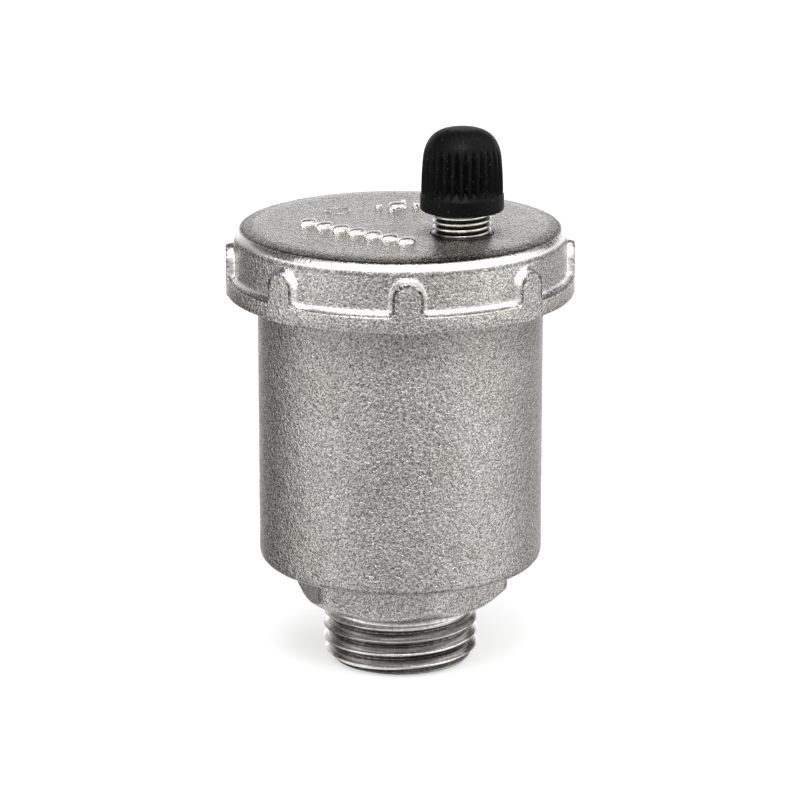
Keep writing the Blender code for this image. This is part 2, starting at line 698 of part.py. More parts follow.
def make_float_shell(surface, parent):
    inner_r = FLOAT_R - FLOAT_WALL
    corner_z = FLOAT_BOTTOM + FLOAT_WALL + FLOAT_INNER_CORNER_R
    rows = [(0, FLOAT_BOTTOM)]
    rows += arc(FLOAT_R - FLOAT_CORNER_R, FLOAT_BOTTOM + FLOAT_CORNER_R, FLOAT_CORNER_R, -90, 0, 4)
    rows += [(FLOAT_R, FLOAT_JOINT), (inner_r, FLOAT_JOINT)]
    rows += arc(inner_r - FLOAT_INNER_CORNER_R, corner_z, FLOAT_INNER_CORNER_R, 0, -90, 3)
    rows += [(0, FLOAT_BOTTOM + FLOAT_WALL)]
    turned("float_shell", rows, FLOAT_SEGMENTS, surface, (0, 0, FLOAT_BOTTOM), parent)


def make_float_cover(surface, parent):
    """Lid of the float, with a spigot ring and a central screw boss below it."""
    under = FLOAT_JOINT + FLOAT_JOINT_GAP
    spigot_out, spigot_in = FLOAT_R - 1.2, FLOAT_R - 2.0
    rows = [(0, 36.6), (0.80, 36.6), (0.80, FLOAT_TOP), (FLOAT_R - 0.8, FLOAT_TOP),
            (FLOAT_R - 0.2, FLOAT_TOP - 0.25), (FLOAT_R, FLOAT_TOP - 0.7), (FLOAT_R, under),
            (spigot_out, under), (spigot_out, 38.6), (spigot_in, 38.6), (spigot_in, under),
            (2.3, under), (2.3, 35.9), (0, 35.9)]
    turned("float_cover", rows, FLOAT_SEGMENTS, surface, (0, 0, FLOAT_JOINT), parent)


def make_hanger(surface, parent):
    foot, eye, link_z = HANGER_HALF_FOOT, HANGER_EYE_R, LINK_Z - HANGER_BOTTOM
    outline = [(-foot, 0.0), (foot, 0.0), (foot, HANGER_BASE), (eye, 1.6)]
    outline += arc(0, link_z, eye, 0, 180, 8)
    outline += [(-eye, 1.6), (-foot, HANGER_BASE)]
    hanger = piece("float_hanger", prism_xz(outline, HANGER_CHEEK_OUT), surface,
                   (0, 0, HANGER_BOTTOM), parent)
    channel = box(bmesh.new(), -6, 6, -HANGER_CHEEK_IN, HANGER_CHEEK_IN, HANGER_BASE, 20)
    combine(hanger, "hanger_channel", channel)
    holes = rod_y(bmesh.new(), PIN_HOLE_R, 0, link_z, reach=5)
    rod_z(holes, HANGER_SCREW_HOLE_R, 0, 0, -2, 2, 16)
    combine(hanger, "hanger_holes", holes)


def make_hanger_screw(surface, parent):
    head_z = HANGER_BOTTOM + HANGER_BASE + HANGER_SCREW_HEAD_GAP + HANGER_SCREW_HEAD_H
    make_screw("hanger_screw", (0, 0, head_z), tip_z=36.9, head_r=1.35,
               head_h=HANGER_SCREW_HEAD_H, shank_r=0.75, surface=surface, parent=parent)


# ---------------------------------------------------------------- assembly

def make_materials():
    def metal(name, colour, roughness):
        return material(name, colour, roughness, metallic=1.0)

    def plain(name, colour, roughness):
        return material(name, colour, roughness, metallic=0.0)

    return SimpleNamespace(
        cast=metal("nickel_plated_cast_brass", colour=(0.55, 0.53, 0.50), roughness=0.42),
        plated=metal("nickel_plated_turned_brass", colour=(0.62, 0.60, 0.56), roughness=0.22),
        black=plain("black_plastic", colour=(0.012, 0.012, 0.013), roughness=0.45),
        rubber=plain("black_rubber", colour=(0.02, 0.02, 0.02), roughness=0.70),
        fibre=plain("grey_fibre_washer", colour=(0.16, 0.15, 0.14), roughness=0.80),
        sheet=metal("stainless_sheet", colour=(0.60, 0.60, 0.59), roughness=0.30),
        wire=metal("stainless_wire", colour=(0.66, 0.66, 0.65), roughness=0.22),
        acetal=plain("white_acetal", colour=(0.78, 0.77, 0.73), roughness=0.40),
        float=plain("float_plastic", colour=(0.72, 0.70, 0.62), roughness=0.45),
        brass=metal("turned_brass", colour=(0.72, 0.52, 0.22), roughness=0.28))


def main():
    clear_scene()
    mats = make_materials()

    make_body(mats.cast)
    lid_axis = empty("lid_axis", (0, 0, LID_BOTTOM))
    make_o_ring(mats.rubber, lid_axis)
    make_lid(mats.cast, lid_axis)

    nozzle_axis = empty("nozzle_axis", (NOZZLE_X, 0, LID_TOP), lid_axis)
    make_nozzle(mats.plated, nozzle_axis)
    make_nozzle_seal(mats.fibre, nozzle_axis)
    make_cap_seal(mats.rubber, nozzle_axis)
    make_cap(mats.black, nozzle_axis)

    make_bracket(mats.sheet, lid_axis)
    make_bracket_screws(mats.wire, lid_axis)
    pivot_at = (PIVOT_X, 0, PIVOT_Z)
    pivot = empty("lever_pivot", pivot_at, lid_axis)
    make_pin_and_clip(("lever_pivot_pin", "pivot_clip"), pivot_at, CHEEK_OUT, head_y=-4.60,
                      end_y=4.80, surfaces=(mats.wire, mats.sheet), parent=pivot)
    make_lever(mats.acetal, pivot)

    valve_axis = empty("valve_axis", (NOZZLE_X, 0, SEAT_Z), lid_axis)
    make_valve_holder(mats.brass, valve_axis)
    make_valve_pad(mats.rubber, valve_axis)
    make_spring(mats.wire, valve_axis)

    float_axis = empty("float_axis", (0, 0, FLOAT_BOTTOM), lid_axis)
    make_float_shell(mats.float, float_axis)
    make_float_cover(mats.float, float_axis)
    make_hanger(mats.sheet, float_axis)
    make_hanger_screw(mats.wire, float_axis)
    make_pin_and_clip(("link_pin", "link_clip"), (0, 0, LINK_Z), HANGER_CHEEK_OUT, head_y=-2.85,
                      end_y=3.05, surfaces=(mats.wire, mats.sheet), parent=float_axis)


main()
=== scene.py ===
"""Looks of the automatic air vent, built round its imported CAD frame."""

import json
import math

import bmesh
import bpy
import numpy as np
from mathutils import Matrix, Vector


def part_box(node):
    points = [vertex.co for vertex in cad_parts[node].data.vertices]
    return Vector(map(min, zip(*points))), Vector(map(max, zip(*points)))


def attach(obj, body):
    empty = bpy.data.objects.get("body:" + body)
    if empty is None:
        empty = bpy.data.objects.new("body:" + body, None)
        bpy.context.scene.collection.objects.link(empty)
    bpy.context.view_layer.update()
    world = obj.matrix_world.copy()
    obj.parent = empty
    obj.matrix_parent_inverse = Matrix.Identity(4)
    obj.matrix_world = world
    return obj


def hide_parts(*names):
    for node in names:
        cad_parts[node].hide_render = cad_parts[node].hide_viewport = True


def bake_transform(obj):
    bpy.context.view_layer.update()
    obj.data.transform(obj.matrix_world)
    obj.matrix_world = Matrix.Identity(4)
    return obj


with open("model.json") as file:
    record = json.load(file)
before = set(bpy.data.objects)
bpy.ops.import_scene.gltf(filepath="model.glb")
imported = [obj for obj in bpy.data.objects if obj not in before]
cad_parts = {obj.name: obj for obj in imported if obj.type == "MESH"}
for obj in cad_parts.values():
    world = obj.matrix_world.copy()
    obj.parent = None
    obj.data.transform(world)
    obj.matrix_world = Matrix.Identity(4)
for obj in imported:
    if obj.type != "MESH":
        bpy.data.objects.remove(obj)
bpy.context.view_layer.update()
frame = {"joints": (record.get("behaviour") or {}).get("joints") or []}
JOINTS = {j["name"]: j for j in frame["joints"]}
MM = 0.001
TAU = 2 * math.pi


# ------------------------------------------------------------------ places, read from the frame (mm)

def low(node):
    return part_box(node)[0] / MM


def high(node):
    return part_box(node)[1] / MM


BODY_R = high("body").x
RIM_Z = high("body").z
LID_LOW, LID_TOP = low("lid").z, high("lid").z
BAND_R = high("lid").y
NOZ = Vector(JOINTS["cap_turn"]["pos_m"]) / MM
NOZ_TOP = high("vent_nozzle").z
SEAT_Z = low("vent_nozzle").z
CAP_LOW, CAP_TOP = low("vent_cap").z, high("vent_cap").z
CAP_R = (high("vent_cap").y - low("vent_cap").y) / 2
PIVOT = Vector(JOINTS["lever_swing"]["pos_m"]) / MM
SWING = math.radians(8.0)
LINK_ARM, VALVE_ARM = 14.27, 4.37
LINK_Z = PIVOT.z - LINK_ARM * math.sin(SWING)
FLOAT_LOW, FLOAT_TOP = low("float_shell").z, high("float_cover").z
FLOAT_R = high("float_shell").x
CAMERA_AZIMUTH = 34.6
CAMERA_ELEVATION = 15.64


# ------------------------------------------------------------------ node materials

class Nodes:
    """Small helper for writing shader trees."""

    def __init__(self, name):
        self.mat = bpy.data.materials.new(name)
        self.mat.use_nodes = True
        self.tree = self.mat.node_tree
        self.shader = self.tree.nodes["Principled BSDF"]
        self.coord = self.add("ShaderNodeTexCoord").outputs["Object"]

    def add(self, kind, **settings):
        node = self.tree.nodes.new(kind)
        for key, value in settings.items():
            setattr(node, key, value)
        return node

    def link(self, a, b):
        self.tree.links.new(a, b)

    def scaled(self, sx, sy, sz, source=None):
        m = self.add("ShaderNodeMapping")
        m.inputs["Scale"].default_value = (sx, sy, sz)
        self.link(source or self.coord, m.inputs["Vector"])
        return m.outputs["Vector"]

    def noise(self, scale, detail=3.0, rough=0.5, vector=None, distortion=0.0):
        n = self.add("ShaderNodeTexNoise")
        n.inputs["Scale"].default_value = scale
        n.inputs["Detail"].default_value = detail
        n.inputs["Roughness"].default_value = rough
        n.inputs["Distortion"].default_value = distortion
        self.link(vector or self.coord, n.inputs["Vector"])
        return n.outputs["Fac"]

    def cells(self, scale, feature="F1", vector=None, output="Distance"):
        n = self.add("ShaderNodeTexVoronoi", feature=feature)
        n.inputs["Scale"].default_value = scale
        self.link(vector or self.coord, n.inputs["Vector"])
        return n.outputs[output]

    def ramp(self, fac, stops, interpolation="LINEAR"):
        n = self.add("ShaderNodeValToRGB")
        n.color_ramp.interpolation = interpolation
        while len(n.color_ramp.elements) < len(stops):
            n.color_ramp.elements.new(0.5)
        for e, (pos, value) in zip(n.color_ramp.elements, stops):
            e.position = pos
            e.color = (value, value, value, 1) if isinstance(value, (int, float)) else (*value, 1)
        self.link(fac, n.inputs["Fac"])
        return n.outputs["Color"]

    def math(self, op, a, b=None, clamp=False):
        n = self.add("ShaderNodeMath", operation=op, use_clamp=clamp)
        for i, v in enumerate((a, b)):
            if v is None:
                continue
            if isinstance(v, (int, float)):
                n.inputs[i].default_value = v
            else:
                self.link(v, n.inputs[i])
        return n.outputs[0]

    def mix(self, fac, a, b, blend="MIX"):
        n = self.add("ShaderNodeMix", data_type="RGBA", blend_type=blend)
        for place, v in ((0, fac), (6, a), (7, b)):
            socket = n.inputs[place]
            if isinstance(v, (int, float)):
                socket.default_value = v if place == 0 else (v, v, v, 1)
            elif isinstance(v, tuple):
                socket.default_value = (*v, 1)
            else:
                self.link(v, socket)
        return n.outputs[2]

    def bump(self, height, strength, distance, normal=None):
        n = self.add("ShaderNodeBump")
        if isinstance(strength, (int, float)):
            n.inputs["Strength"].default_value = strength
        else:
            self.link(strength, n.inputs["Strength"])
        n.inputs["Distance"].default_value = distance
        self.link(height, n.inputs["Height"])
        if normal is not None:
            self.link(normal, n.inputs["Normal"])
        return n.outputs["Normal"]

    def set(self, **values):
        names = {"colour": "Base Color", "rough": "Roughness", "metal": "Metallic", "normal": "Normal",
                 "coat": "Coat Weight", "sss": "Subsurface Weight", "spec": "Specular IOR Level",
                 "aniso": "Anisotropic"}
        for key, v in values.items():
            socket = self.shader.inputs[names[key]]
            if isinstance(v, (int, float)):
                socket.default_value = v
            elif isinstance(v, tuple):
                socket.default_value = (*v, 1)
            else:
                self.link(v, socket)
        return self.mat


def cast_nickel(name, tint=1.0, grain=1.0, painted_shade_above=None, painted_light_lines=False):
    """Nickel plate over a shot-blasted casting: pebbled relief, dark and bright grain, slow stains,
    small pits, painted shade in the creases and a polish on the edges."""
    n = Nodes(name)
    fine = n.noise(4100, 1.5, 0.72, distortion=0.3)
    pebble = n.noise(2100, 2.0, 0.60, distortion=0.9)
    broad = n.noise(520, 2.0, 0.5)
    slow = n.noise(120, 3.0, 0.55)
    streak = n.noise(70, 2.0, 0.5, n.scaled(1, 1, 0.3))
    dents = n.ramp(n.cells(1300), [(0.0, 0.0), (0.36, 1.0)])
    dent_mask = n.ramp(n.noise(700, 2.0), [(0.44, 1.0), (0.58, 0.0)])
    dents = n.mix(dent_mask, dents, 1.0)
    base = n.ramp(n.math("ADD", n.math("MULTIPLY", pebble, 0.12), n.math("MULTIPLY", fine, 0.88)),
                  [(0.38, (0.31 * tint, 0.302 * tint, 0.289 * tint)),
                   (0.49, (0.60 * tint, 0.585 * tint, 0.561 * tint)),
                   (0.60, (0.88 * tint, 0.860 * tint, 0.828 * tint))])
    stain = n.ramp(n.math("ADD", n.math("MULTIPLY", slow, 0.6), n.math("MULTIPLY", streak, 0.4)),
                   [(0.40, (0.90, 0.885, 0.865)), (0.60, (1.0, 1.0, 1.0))])
    colour = n.mix(1.0, base, stain, "MULTIPLY")
    colour = n.mix(1.0, colour, n.ramp(dents, [(0.0, 0.62), (0.8, 1.0)]), "MULTIPLY")
    # painted shade: the colour darkens towards the top, under the lid's overhang
    if painted_shade_above:
        split = n.add("ShaderNodeSeparateXYZ")
        n.link(n.coord, split.inputs[0])
        height = n.math("ADD", n.math("DIVIDE", n.math("SUBTRACT", split.outputs[2], painted_shade_above * MM), 6.5 * MM),
                        n.math("MULTIPLY", n.math("SUBTRACT", broad, 0.5), 0.35), clamp=True)
        colour = n.mix(1.0, colour, n.ramp(height, [(0.0, 1.0), (0.9, 0.74)]), "MULTIPLY")
    point = n.add("ShaderNodeNewGeometry").outputs["Pointiness"]
    # painted shade: concave places (low pointiness) are darkened
    crease_shade = n.ramp(point, [(0.450, 0.62), (0.488, 1.0)])
    edge = n.ramp(point, [(0.510, 0.0), (0.560, 1.0)])
    colour = n.mix(1.0, colour, crease_shade, "MULTIPLY")
    colour = n.mix(n.math("MULTIPLY", edge, 0.45), colour, (0.90, 0.885, 0.86))
    rough = n.ramp(fine, [(0.3, 0.20), (0.7, 0.32)])
    rough = n.mix(n.math("MULTIPLY", edge, 0.6), rough, 0.20)
    calm = 1.0
    if painted_light_lines:                                         # painted shade and painted highlights along the casting's own steps
        step = n.add("ShaderNodeAttribute", attribute_name="line").outputs["Fac"]
        rag = n.math("MULTIPLY", n.math("SUBTRACT", pebble, 0.5), n.ramp(step, [(0.40, 0.9), (0.5, 0.0)]))
        dark = n.ramp(n.math("ADD", step, rag), [(0.0, 0.10), (0.46, 1.0)])
        light = n.ramp(step, [(0.54, 0.0), (0.95, 1.0)])
        colour = n.mix(1.0, colour, dark, "MULTIPLY")
        colour = n.mix(n.math("MULTIPLY", light, 0.9), colour, (0.97, 0.96, 0.94))
        rough = n.mix(light, rough, 0.17)
        calm = n.math("SUBTRACT", 1.0, n.math("MULTIPLY", light, 0.8))
    h = n.math("ADD", n.math("MULTIPLY", pebble, 1.0), n.math("MULTIPLY", broad, 0.5))
    normal = n.bump(h, calm, 0.00019 * grain)
    normal = n.bump(fine, 0.8, 0.00002 * grain, normal)
    normal = n.bump(dents, 0.8, 0.00004, normal)
    return n.set(colour=colour, rough=rough, metal=1.0, normal=normal)


def turned_nickel(name, colour=(0.66, 0.645, 0.62), rough=0.2, lines=1.0, centre=(0.0, 0.0), roots=None,
                  depth=(0.30, 0.55, 0.86, 1.08), rings=(6500, 0.66), shade_foot=None):
    """Turned metal: fine tool lines round the axis, faint stains and nicks. roots is the pair of
    radii (mm) between which a thread goes from dull roots in painted shade to polished crests with a painted
    highlight."""
    n = Nodes(name)
    ring = n.noise(rings[0], 2.0, 0.7, n.scaled(0.012, 0.012, 1.0))
    stain = n.noise(420, 3.0, 0.5)
    nick = n.noise(1900, 2.0, 0.6)
    tone = n.ramp(stain, [(0.35, tuple(c * 0.90 for c in colour)), (0.65, colour)])
    tone = n.mix(1.0, tone, n.ramp(ring, [(0.38, rings[1]), (0.58, 1.0)]), "MULTIPLY")
    tone = n.mix(1.0, tone, n.ramp(nick, [(0.36, 0.78), (0.52, 1.0)]), "MULTIPLY")
    r = n.ramp(n.math("ADD", n.math("MULTIPLY", nick, 0.4), n.math("MULTIPLY", ring, 0.6)),
               [(0.35, rough * 0.75), (0.65, rough * 1.5)])
    if roots:
        split = n.add("ShaderNodeSeparateXYZ")
        n.link(n.coord, split.inputs[0])
        dx = n.math("ADD", split.outputs[0], -centre[0] * MM)
        dy = n.math("ADD", split.outputs[1], -centre[1] * MM)
        radius = n.math("SQRT", n.math("ADD", n.math("MULTIPLY", dx, dx), n.math("MULTIPLY", dy, dy)))
        u = n.math("DIVIDE", n.math("SUBTRACT", radius, roots[0] * MM), (roots[1] - roots[0]) * MM, clamp=True)
        u = n.math("ADD", u, n.math("MULTIPLY", n.math("SUBTRACT", nick, 0.5), 0.25), clamp=True)
        # painted shade in the thread's roots and painted highlight on its crests, by the factors in depth
        tone = n.mix(1.0, tone, n.ramp(u, list(zip((0.0, 0.35, 0.75, 0.95), depth))), "MULTIPLY")
        r = n.mix(n.ramp(u, [(0.2, 1.0), (0.8, 0.0)]), r, rough * 2.0)
    if shade_foot:                                          # painted shade in the joint at this height
        z = n.add("ShaderNodeSeparateXYZ")
        n.link(n.coord, z.inputs[0])
        up = n.math("DIVIDE", n.math("SUBTRACT", z.outputs[2], (shade_foot - 1.0) * MM), 2.0 * MM, clamp=True)
        tone = n.mix(1.0, tone, n.ramp(up, [(0.30, 1.0), (0.42, 0.06), (0.52, 0.06), (0.72, 1.0)]), "MULTIPLY")
    normal = n.bump(ring, 0.4 * lines, 0.00003)
    normal = n.bump(nick, 0.2, 0.00003, normal)
    return n.set(colour=tone, rough=r, metal=1.0, normal=normal)


def sheet_steel(name):
    """Stamped stainless sheet, brushed along the strip."""
    n = Nodes(name)
    brush = n.noise(2600, 3.0, 0.6, n.scaled(0.06, 1.0, 1.0))
    cloud = n.noise(500, 3.0)
    colour = n.ramp(cloud, [(0.3, (0.50, 0.50, 0.49)), (0.7, (0.64, 0.64, 0.63))])
    rough = n.ramp(brush, [(0.3, 0.20), (0.7, 0.38)])
    return n.set(colour=colour, rough=rough, metal=1.0, normal=n.bump(brush, 0.3, 0.00004))


def black_plastic():
    """Moulded black plastic: faint spark texture, slight sheen, paler dust specks."""
    n = Nodes("cap_black_plastic")
    spark = n.noise(3000, 3.0, 0.6)
    cloud = n.noise(400, 3.0, 0.5)
    speck = n.ramp(n.cells(2300), [(0.0, 1.0), (0.36, 0.0)])
    colour = n.ramp(cloud, [(0.35, (0.0012, 0.0012, 0.0013)), (0.7, (0.0026, 0.0026, 0.0028))])
    colour = n.mix(n.math("MULTIPLY", speck, n.ramp(spark, [(0.52, 0.0), (0.66, 0.8)])), colour,
                   (0.10, 0.10, 0.105))
    rough = n.ramp(spark, [(0.3, 0.36), (0.7, 0.54)])
    return n.set(colour=colour, rough=rough, metal=0.0, spec=0.10,
                 normal=n.bump(spark, 0.4, 0.00008))


def soft_rubber(name, colour=(0.018, 0.018, 0.018)):
    n = Nodes(name)
    spark = n.noise(2400, 3.0, 0.6)
    cloud = n.noise(300, 2.0)
    c = n.ramp(cloud, [(0.3, colour), (0.7, tuple(v * 1.7 for v in colour))])
    return n.set(colour=c, rough=n.ramp(spark, [(0.3, 0.55), (0.7, 0.78)]), metal=0.0,
                 normal=n.bump(spark, 0.3, 0.00006))


def moulded(name, light, dark, rough, sss=0.12):
    """Pale moulded plastic with flow marks and a matt skin."""
    n = Nodes(name)
    flow = n.noise(160, 3.0, 0.5, n.scaled(1, 1, 0.35), 0.6)
    spark = n.noise(2600, 2.0, 0.5)
    colour = n.ramp(flow, [(0.32, dark), (0.66, light)])
    n.set(colour=colour, rough=n.ramp(spark, [(0.3, rough), (0.7, rough + 0.14)]), metal=0.0,
          sss=sss, normal=n.bump(spark, 0.22, 0.00006))
    n.shader.inputs["Subsurface Radius"].default_value = (0.0012, 0.001, 0.0008)
    return n.mat


def fibre_board(name):
    n = Nodes(name)
    strand = n.noise(2200, 4.0, 0.7, n.scaled(1, 1, 3))
    colour = n.ramp(strand, [(0.3, (0.06, 0.055, 0.05)), (0.7, (0.17, 0.155, 0.14))])
    return n.set(colour=colour, rough=0.85, metal=0.0, normal=n.bump(strand, 0.5, 0.00008))


M_CAST = cast_nickel("cast_nickel_plate", 0.83, painted_shade_above=LID_LOW - 7.5, painted_light_lines=True)
M_LID = cast_nickel("cast_nickel_plate_lid", 0.90, 0.88, painted_light_lines=True)
# painted highlight: the marks are the lid's own metal, coloured lighter than the lid
M_MARK = cast_nickel("cast_nickel_plate_marks", 1.25, 0.35)
# the thread materials paint shade into the roots and highlights onto the crests; the nozzle's also paints shade at
# its foot
M_THREAD = turned_nickel("turned_nickel_plate", (0.88, 0.86, 0.83), 0.15, 3.0, roots=(9.30, 10.35),
                         depth=(0.14, 0.95, 1.12, 1.15), rings=(2700, 0.30))
M_SHANK = turned_nickel("turned_nickel_shank", (0.90, 0.88, 0.85), 0.13, 2.5, rings=(3400, 0.35))
M_NECK = turned_nickel("turned_nickel_neck", roots=(18.0, 18.9))
M_NOZZLE = turned_nickel("turned_nickel_nozzle", (0.92, 0.875, 0.82), 0.13, centre=(NOZ.x, NOZ.y),
                         roots=(3.44, 3.80), depth=(0.04, 0.20, 0.85, 1.08), shade_foot=LID_TOP + 0.12)
M_BRASS = turned_nickel("turned_brass", (0.78, 0.56, 0.25), 0.24)
M_TURNED = turned_nickel("turned_stainless", (0.64, 0.64, 0.63), 0.22)
M_SHEET = sheet_steel("stamped_stainless")
M_WIRE = turned_nickel("drawn_wire", (0.68, 0.68, 0.67), 0.18, 0.4)
M_CAP = black_plastic()
M_RUBBER = soft_rubber("black_rubber")
M_PAD = soft_rubber("valve_pad_rubber", (0.03, 0.028, 0.026))
M_FLOAT = moulded("float_polypropylene", (0.80, 0.77, 0.69), (0.70, 0.66, 0.57), 0.34, 0.2)
M_LEVER = moulded("lever_acetal", (0.86, 0.855, 0.83), (0.78, 0.77, 0.74), 0.30)
M_FIBRE = fibre_board("washer_fibre")


# ------------------------------------------------------------------ geometry helpers (mm in, m out)

THREADS = {}


def constant(r, z):
    return lambda a: (np.full_like(a, r), np.full_like(a, z))


def lathe(name, rows, columns, mats, centre=(0.0, 0.0), start=0.0, slots=None, sharp=40.0):
    """Turned or cast form: a grid of rows round an upright axis, each row (r, z) or a function of
    the angles. Rows of radius 0 close on the axis. Thread rows join one pitch up at the seam."""
    a = start + TAU * np.arange(columns) / columns if isinstance(columns, int) else columns
    columns = len(a)
    pts = np.zeros((len(rows), columns, 3))
    for n, row in enumerate(rows):
        r, z = row(a) if callable(row) else (np.full(columns, float(row[0])), np.full(columns, float(row[1])))
        pts[n, :, 0] = centre[0] + r * np.cos(a)
        pts[n, :, 1] = centre[1] + r * np.sin(a)
        pts[n, :, 2] = z
    count = len(rows)
    on_axis = not callable(rows[0]) and rows[0][0] == 0
    faces, marks = [], []
    for n in range(count - 1 if on_axis else count):
        m = (n + 1) % count
        sn = n + min(THREADS.get(rows[n], (0, 0))) if callable(rows[n]) and rows[n] in THREADS else n
        sm = m + min(THREADS.get(rows[m], (0, 0))) if callable(rows[m]) and rows[m] in THREADS else m
        i = np.arange(columns - 1)
        block = np.stack([n * columns + i, n * columns + i + 1, m * columns + i + 1, m * columns + i], 1)
        seam = [[n * columns + columns - 1, sn * columns, sm * columns, m * columns + columns - 1]]
        faces.append(np.vstack([block, seam]))
        marks.append(np.full(columns, slots[n] if slots else 0))
    faces, marks = np.vstack(faces), np.concatenate(marks)
    mesh = bpy.data.meshes.new(name)
    mesh.from_pydata((pts.reshape(-1, 3) * MM).tolist(), [], faces.tolist())
    mesh.polygons.foreach_set("material_index", marks.astype(np.int32))
    bm = bmesh.new()
    bm.from_mesh(mesh)
    bmesh.ops.remove_doubles(bm, verts=bm.verts, dist=2e-7)
    bmesh.ops.dissolve_degenerate(bm, edges=bm.edges, dist=2e-7)
    bmesh.ops.recalc_face_normals(bm, faces=bm.faces)
    bm.to_mesh(mesh)
    bm.free()
    return show(name, mesh, mats, sharp)


def show(name, mesh, mats, sharp=40.0):
    obj = bpy.data.objects.new(name, mesh)
    bpy.context.collection.objects.link(obj)
    for m in (mats if isinstance(mats, (list, tuple)) else [mats]):
        mesh.materials.append(m)
    mesh.shade_smooth()
    mesh.set_sharp_from_angle(angle=math.radians(sharp))
    return obj


def stand_in(obj, body, node):
    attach(obj, body)
    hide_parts(node)
    return obj


def arc(cr, cz, radius, first, last, steps):
    t = np.radians(np.linspace(first, last, steps + 1))
    return [(cr + radius * math.cos(v), cz + radius * math.sin(v)) for v in t]


def line(p, q, steps):
    """Points between p and q, without p."""
    return [(p[0] + (q[0] - p[0]) * i / steps, p[1] + (q[1] - p[1]) * i / steps)
            for i in range(1, steps + 1)]


def rounded(points, default=0.15, steps=3, radii=None):
    """Profile with its corners rounded. radii gives a corner its own radius by index."""
    out = []
    for i, p in enumerate(points):
        p = Vector((p[0], p[1]))
        if i in (0, len(points) - 1):
            out.append(tuple(p))
            continue
        a, b = Vector(points[i - 1][:2]) - p, Vector(points[i + 1][:2]) - p
        la, lb = a.length, b.length
        want = (radii or {}).get(i, default)
        half = a.angle(b) / 2
        if want <= 0 or half > math.radians(88):
            out.append(tuple(p))
            continue
        cut = min(want / math.tan(half), la * 0.49, lb * 0.49)
        r = cut * math.tan(half)
        a.normalize(), b.normalize()
        c = p + (a + b).normalized() * (r / math.sin(half))
        s, e = p + a * cut - c, p + b * cut - c
        turn = s.angle_signed(e)
        for k in range(steps + 1):
            v = s.copy()
            v.rotate(Matrix.Rotation(-turn * k / steps, 2))
            out.append((c.x + v.x, c.y + v.y))
    return out


PROFILE = ((0.0, 0.0), (0.045, 0.0), (0.085, 0.06), (0.13, 0.19), (0.26, 0.50), (0.385, 0.83), (0.42, 0.94),
           (0.46, 1.0), (0.54, 1.0), (0.58, 0.94), (0.615, 0.83), (0.74, 0.50), (0.87, 0.19), (0.915, 0.06),
           (0.955, 0.0))


ROUNDED = ((0.0, 0.0), (0.06, 0.02), (0.12, 0.14), (0.18, 0.38), (0.24, 0.66), (0.30, 0.86), (0.38, 0.97),
           (0.50, 1.0), (0.62, 0.97), (0.70, 0.86), (0.76, 0.66), (0.82, 0.38), (0.88, 0.14), (0.94, 0.02))


def thread(pitch, crest_z, crest_r, root_r, z0, z1, limit=None, fade=None, profile=PROFILE):
    """Rows of a right-hand thread from z0 to z1. limit(z) caps the radius; fade(z, r) blends it out."""
    places = [p for p, _ in profile]
    heights = [h for _, h in profile]

    def radius(z, a):
        u = np.mod((z - crest_z - pitch * a / TAU) / pitch + 0.5, 1.0)
        r = root_r + (crest_r - root_r) * np.interp(u, places + [1.0], heights + [0.0])
        if fade:
            r = fade(z, r)
        return np.minimum(r, limit(z)) if limit else r

    first = math.floor((z0 - crest_z) / pitch) - 2
    last = math.ceil((z1 - crest_z) / pitch) + 1
    rows = []
    for k in range(first, last + 1):
        for place in places:
            def row(a, k=k, place=place):
                z = np.clip(crest_z + pitch * (k - 0.5 + place + a / TAU), z0, z1)
                return radius(z, a), z
            rows.append(row)
    for n, row in enumerate(rows):
        THREADS[row] = (len(places), len(rows) - 1 - n)
    return rows


def smooth(x):
    x = np.clip(x, 0, 1)
    return x * x * (3 - 2 * x)


def soft_max(a, b, k):
    h = np.clip(0.5 + 0.5 * (a - b) / k, 0, 1)
    return b + (a - b) * h + k * h * (1 - h)


def soft_min(a, b, k):
    return -soft_max(-a, -b, k)


def bevelled(obj, width, segments=2, angle=35.0):
    mod = obj.modifiers.new("edges", "BEVEL")
    mod.width = width * MM
    mod.segments = segments
    mod.limit_method = "ANGLE"
    mod.angle_limit = math.radians(angle)
    mod.harden_normals = False
    return obj


def apply_modifiers(obj):
    dg = bpy.context.evaluated_depsgraph_get()
    made = bpy.data.meshes.new_from_object(obj.evaluated_get(dg))
    old = obj.data
    obj.modifiers.clear()
    obj.data = made
    bpy.data.meshes.remove(old)
    return obj


def unevenness(obj, group_test, strength, size, name):
    """Slow unevenness of a casting, as real geometry, on the vertices that group_test picks."""
    group = obj.vertex_groups.new(name="cast")
    co = np.zeros(len(obj.data.vertices) * 3)
    obj.data.vertices.foreach_get("co", co)
    co = co.reshape(-1, 3) / MM
    weight = group_test(co)
    for level in np.unique(np.round(weight, 2)):
        if level > 0:
            group.add(np.where(np.round(weight, 2) == level)[0].tolist(), float(level), "REPLACE")
    tex = bpy.data.textures.new(name, "CLOUDS")
    tex.noise_scale = size * MM
    tex.noise_depth = 2
    mod = obj.modifiers.new("cast", "DISPLACE")
    mod.texture = tex
    mod.texture_coords = "LOCAL"
    mod.strength = strength * MM
    mod.mid_level = 0.5
    mod.vertex_group = "cast"
    return apply_modifiers(obj)


def prism_xz(outline, y0, y1, bm=None):
    bm = bm or bmesh.new()
    face = bm.faces.new([bm.verts.new((x * MM, y0 * MM, z * MM)) for x, z in outline])
    made = bmesh.ops.extrude_face_region(bm, geom=[face])
    moved = [v for v in made["geom"] if isinstance(v, bmesh.types.BMVert)]
    bmesh.ops.translate(bm, vec=(0.0, (y1 - y0) * MM, 0.0), verts=moved)
    return bm


